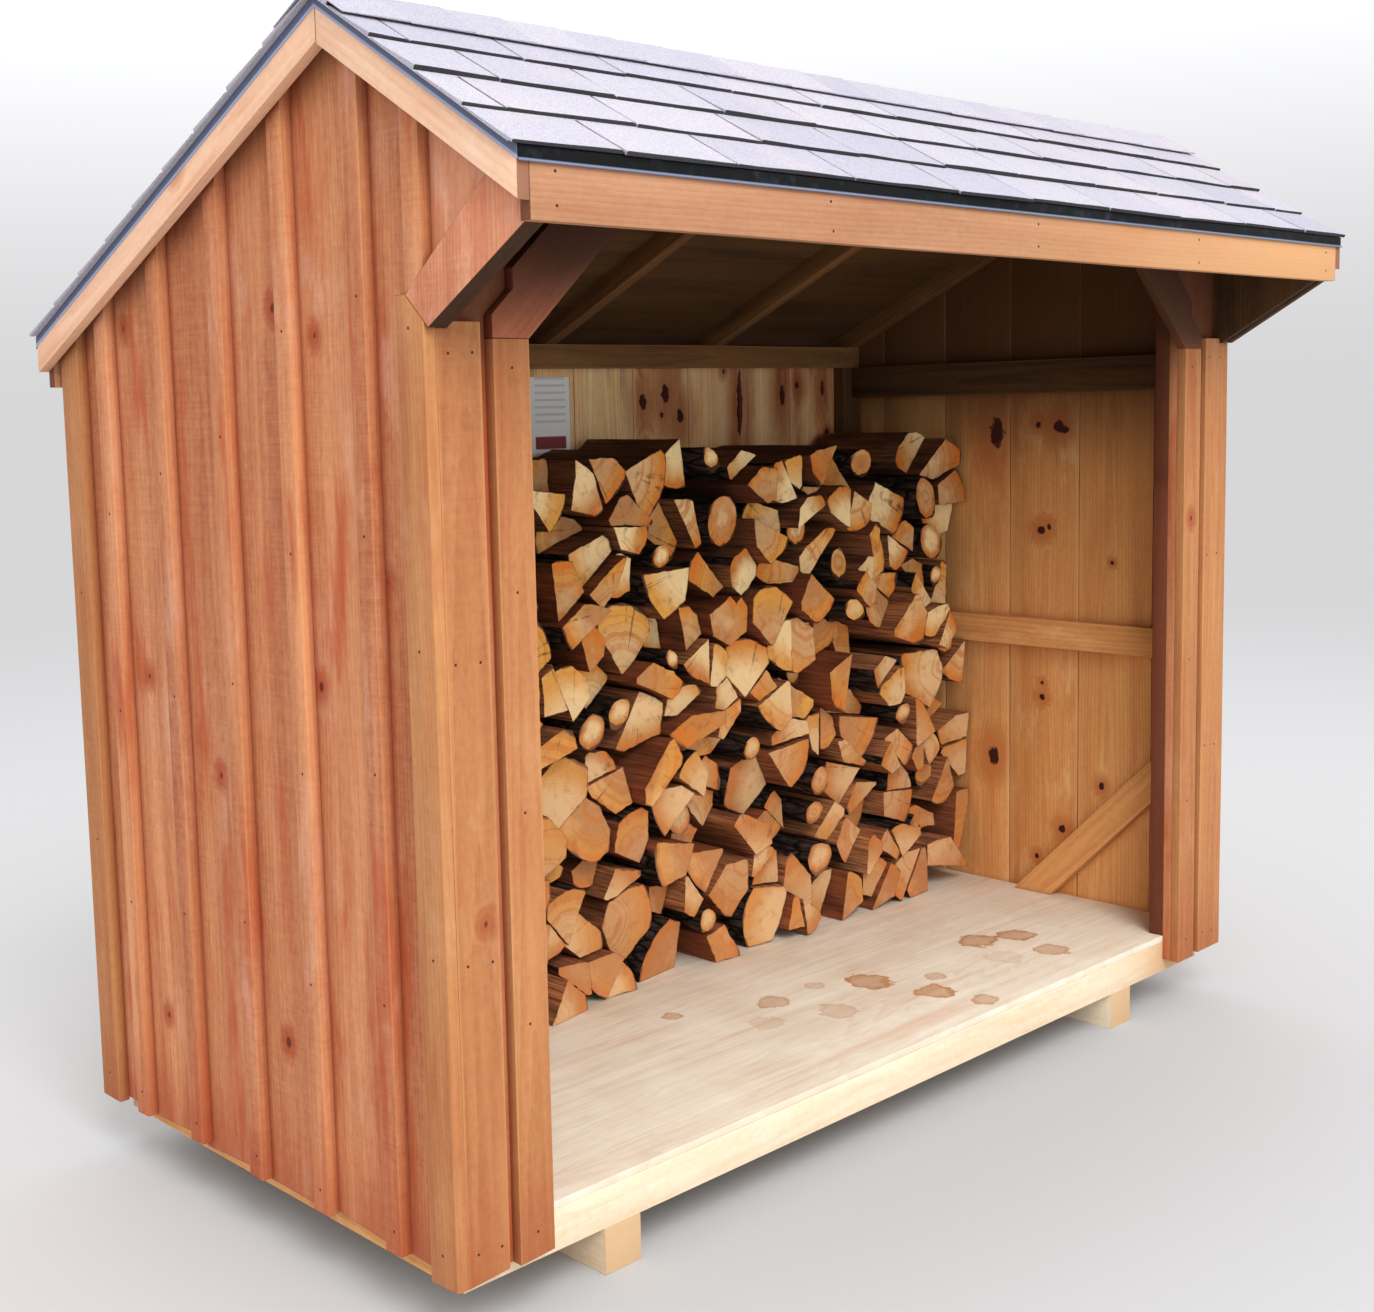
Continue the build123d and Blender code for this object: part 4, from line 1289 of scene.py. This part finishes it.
def edge_metal(name, direction, face, lip_reflection):
    """Painted edge strip, paler along its lower lip as a painted reflection of the sky; the lip is the lowest
    part along direction.
    """
    s = Shader(name + "_paint")
    low = extent(nodes[name].data.vertices, direction)[0]
    inputs = {0: s.place(), 1: direction}
    height = s.add("ShaderNodeVectorMath", inputs, operation="DOT_PRODUCT").outputs["Value"]
    colour = s.veil(face, s.noise(s.place(), 26.0, 4.0, 0.6), 0.5, 0.8, 0.12, lip_reflection)
    colour = s.mix(s.ramp(height, low + 0.003, low + 0.006, 1.0, 0.0), colour, lip_reflection)
    return s.finish(colour, 0.6, s.bump(s.noise(s.place(), 300.0, 2.0), 0.15, 0.0004), 0.15)


def card_face():
    """A plain form: faint ruled lines, with a dull red block at its foot."""
    s = Shader("card_face")
    low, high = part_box("notice_card")
    x, _, z = s.split(s.place())
    height = s.ramp(z, low.z, high.z, smooth=False)
    width = s.ramp(x, low.x, high.x, smooth=False)
    inside = s.times(s.ramp(width, 0.1, 0.12), s.ramp(width, 0.88, 0.9, 1.0, 0.0))
    rules = s.times(s.ramp(s.waves(height, 11.0), 0.62, 0.7), inside)
    rules = s.times(rules, s.ramp(height, 0.38, 0.4))
    fibres = s.noise(s.place(), 120.0)
    colour = s.mix(fibres, srgb(250, 250, 248), srgb(236, 236, 236))
    colour = s.mix(s.times(rules, 0.32), colour, srgb(120, 126, 136))
    block = s.times(s.ramp(height, 0.08, 0.1), s.ramp(height, 0.24, 0.26, 1.0, 0.0))
    colour = s.mix(s.times(block, inside), colour, srgb(140, 66, 70))
    return s.finish(colour, 0.7, s.bump(fibres, 0.2, 0.0003))


def repaint(name, material):
    mesh = nodes[name].data
    mesh.materials.clear()
    mesh.materials.append(material)


log_end = end_grain()
log_split = split_side()
log_bark = bark_side()
shingle = granules("shingle", 1.0, 0.5)
# The same granules darkened, for the butts and slots: painted shade along with their own darker colour
shingle_shade_edge = granules("shingle_shade_edge", 0.34, 0.7)
# Eave drips: near black, their own dark paint with painted shade under the shingles. Rake drips: the same
# metal in a paler slate, as a painted reflection of the sky. Each lip is paler still, a painted reflection.
dark_drip_in_shade, pale_lip_reflection = srgb(6, 7, 8), srgb(112, 122, 146)
slate_sky_reflection, slate_lip_reflection = srgb(92, 96, 118), srgb(150, 160, 186)
for name in ("front_drip_edge", "rear_drip_edge"):
    repaint(name, edge_metal(name, AXIS_Z, dark_drip_in_shade, pale_lip_reflection))
front_up = Vector((0, -math.sin(front_pitch), math.cos(front_pitch)))
rear_up = Vector((0, math.sin(rear_pitch), math.cos(rear_pitch)))
for name, up in (("front_rake_drips", front_up), ("rear_rake_drips", rear_up)):
    repaint(name, edge_metal(name, up, slate_sky_reflection, slate_lip_reflection))
repaint("notice_card", card_face())
for name in ("front_shingles", "rear_shingles"):
    shingle_slope(name)
ridge_caps()
for name in ("firewood_lower", "firewood_middle", "firewood_upper"):
    firewood(name)

# Stage: the floor fades into the backdrop's own tone, so that no horizon shows

horizon_tone = (0.68, 0.68, 0.69, 1.0)
zenith_tone = (1.42, 1.43, 1.46, 1.0)
floor_tone = srgb(188, 188, 188)
floor_reach = 60.0
fade_start, fade_end = 3.5, 11.0


def stage_paint():
    """Matt grey near the store, and the backdrop's light farther out."""
    s = Shader("stage_floor")
    near = s.surface(floor_tone, 0.9, s.bump(s.noise(s.place(), 60.0), 0.1, 0.001), 0.1)
    far = s.add("ShaderNodeEmission", {"Color": horizon_tone, "Strength": 1.0}).outputs[0]
    fade = s.ramp(s.reach(s.place()), fade_start, fade_end)
    return s.output(s.add("ShaderNodeMixShader", {0: fade, 1: near, 2: far}).outputs[0])


def stage_floor():
    mesh = bpy.data.meshes.new("stage_floor")
    corners = [(x * floor_reach, y * floor_reach, 0) for x, y in ((-1, -1), (1, -1), (1, 1), (-1, 1))]
    mesh.from_pydata(corners, [], [(0, 1, 2, 3)])
    mesh.materials.append(stage_paint())
    return add_object("stage_floor", mesh)


def studio_sky():
    """Soft overhead light that thins out towards the horizon."""
    s = Shader("studio", bpy.data.worlds.new("studio"))
    climb = s.split(s.add("ShaderNodeTexCoord").outputs["Generated"])[2]
    colour = s.veil(horizon_tone, climb, 0.0, 0.42, 1.0, zenith_tone)
    background = s.add("ShaderNodeBackground", {"Color": colour, "Strength": 1.0})
    return s.output(background.outputs[0], "World")


def area_light(name, place, target, size, power):
    light = bpy.data.lights.new(name, "AREA")
    light.size = size
    light.energy = power
    lamp = add_object(name, light)
    lamp.location = place
    lamp.rotation_euler = (Vector(target) - Vector(place)).to_track_quat("-Z", "Y").to_euler()


stage_floor()
bpy.context.scene.world = studio_sky()
area_light("key", (-3.84, -7.54, 8.6), (0.2, 0, 0.9), 5.2, 780)
area_light("fill", (-2.2, -7.4, 1.7), (0.2, 0, 1.0), 3.2, 112)

# Camera

forward = Vector((
    math.sin(camera_yaw) * math.cos(camera_pitch),
    math.cos(camera_yaw) * math.cos(camera_pitch),
    math.sin(camera_pitch),
))
level_right = Vector((math.cos(camera_yaw), -math.sin(camera_yaw), 0))
level_up = level_right.cross(forward)
right = math.cos(camera_roll) * level_right + math.sin(camera_roll) * level_up
up = math.cos(camera_roll) * level_up - math.sin(camera_roll) * level_right
lens = bpy.data.cameras.new("camera")
lens.sensor_width = sensor_width
lens.lens = focal_pixels / image_width * sensor_width
lens.shift_x = axis_left_pixels / image_width
lens.shift_y = -axis_up_pixels / image_width
camera = add_object("camera", lens)
camera.matrix_world = Matrix.Translation(camera_place) @ Matrix((right, up, -forward)).transposed().to_4x4()
bpy.context.scene.camera = camera
bpy.context.scene.view_settings.view_transform = "Standard"
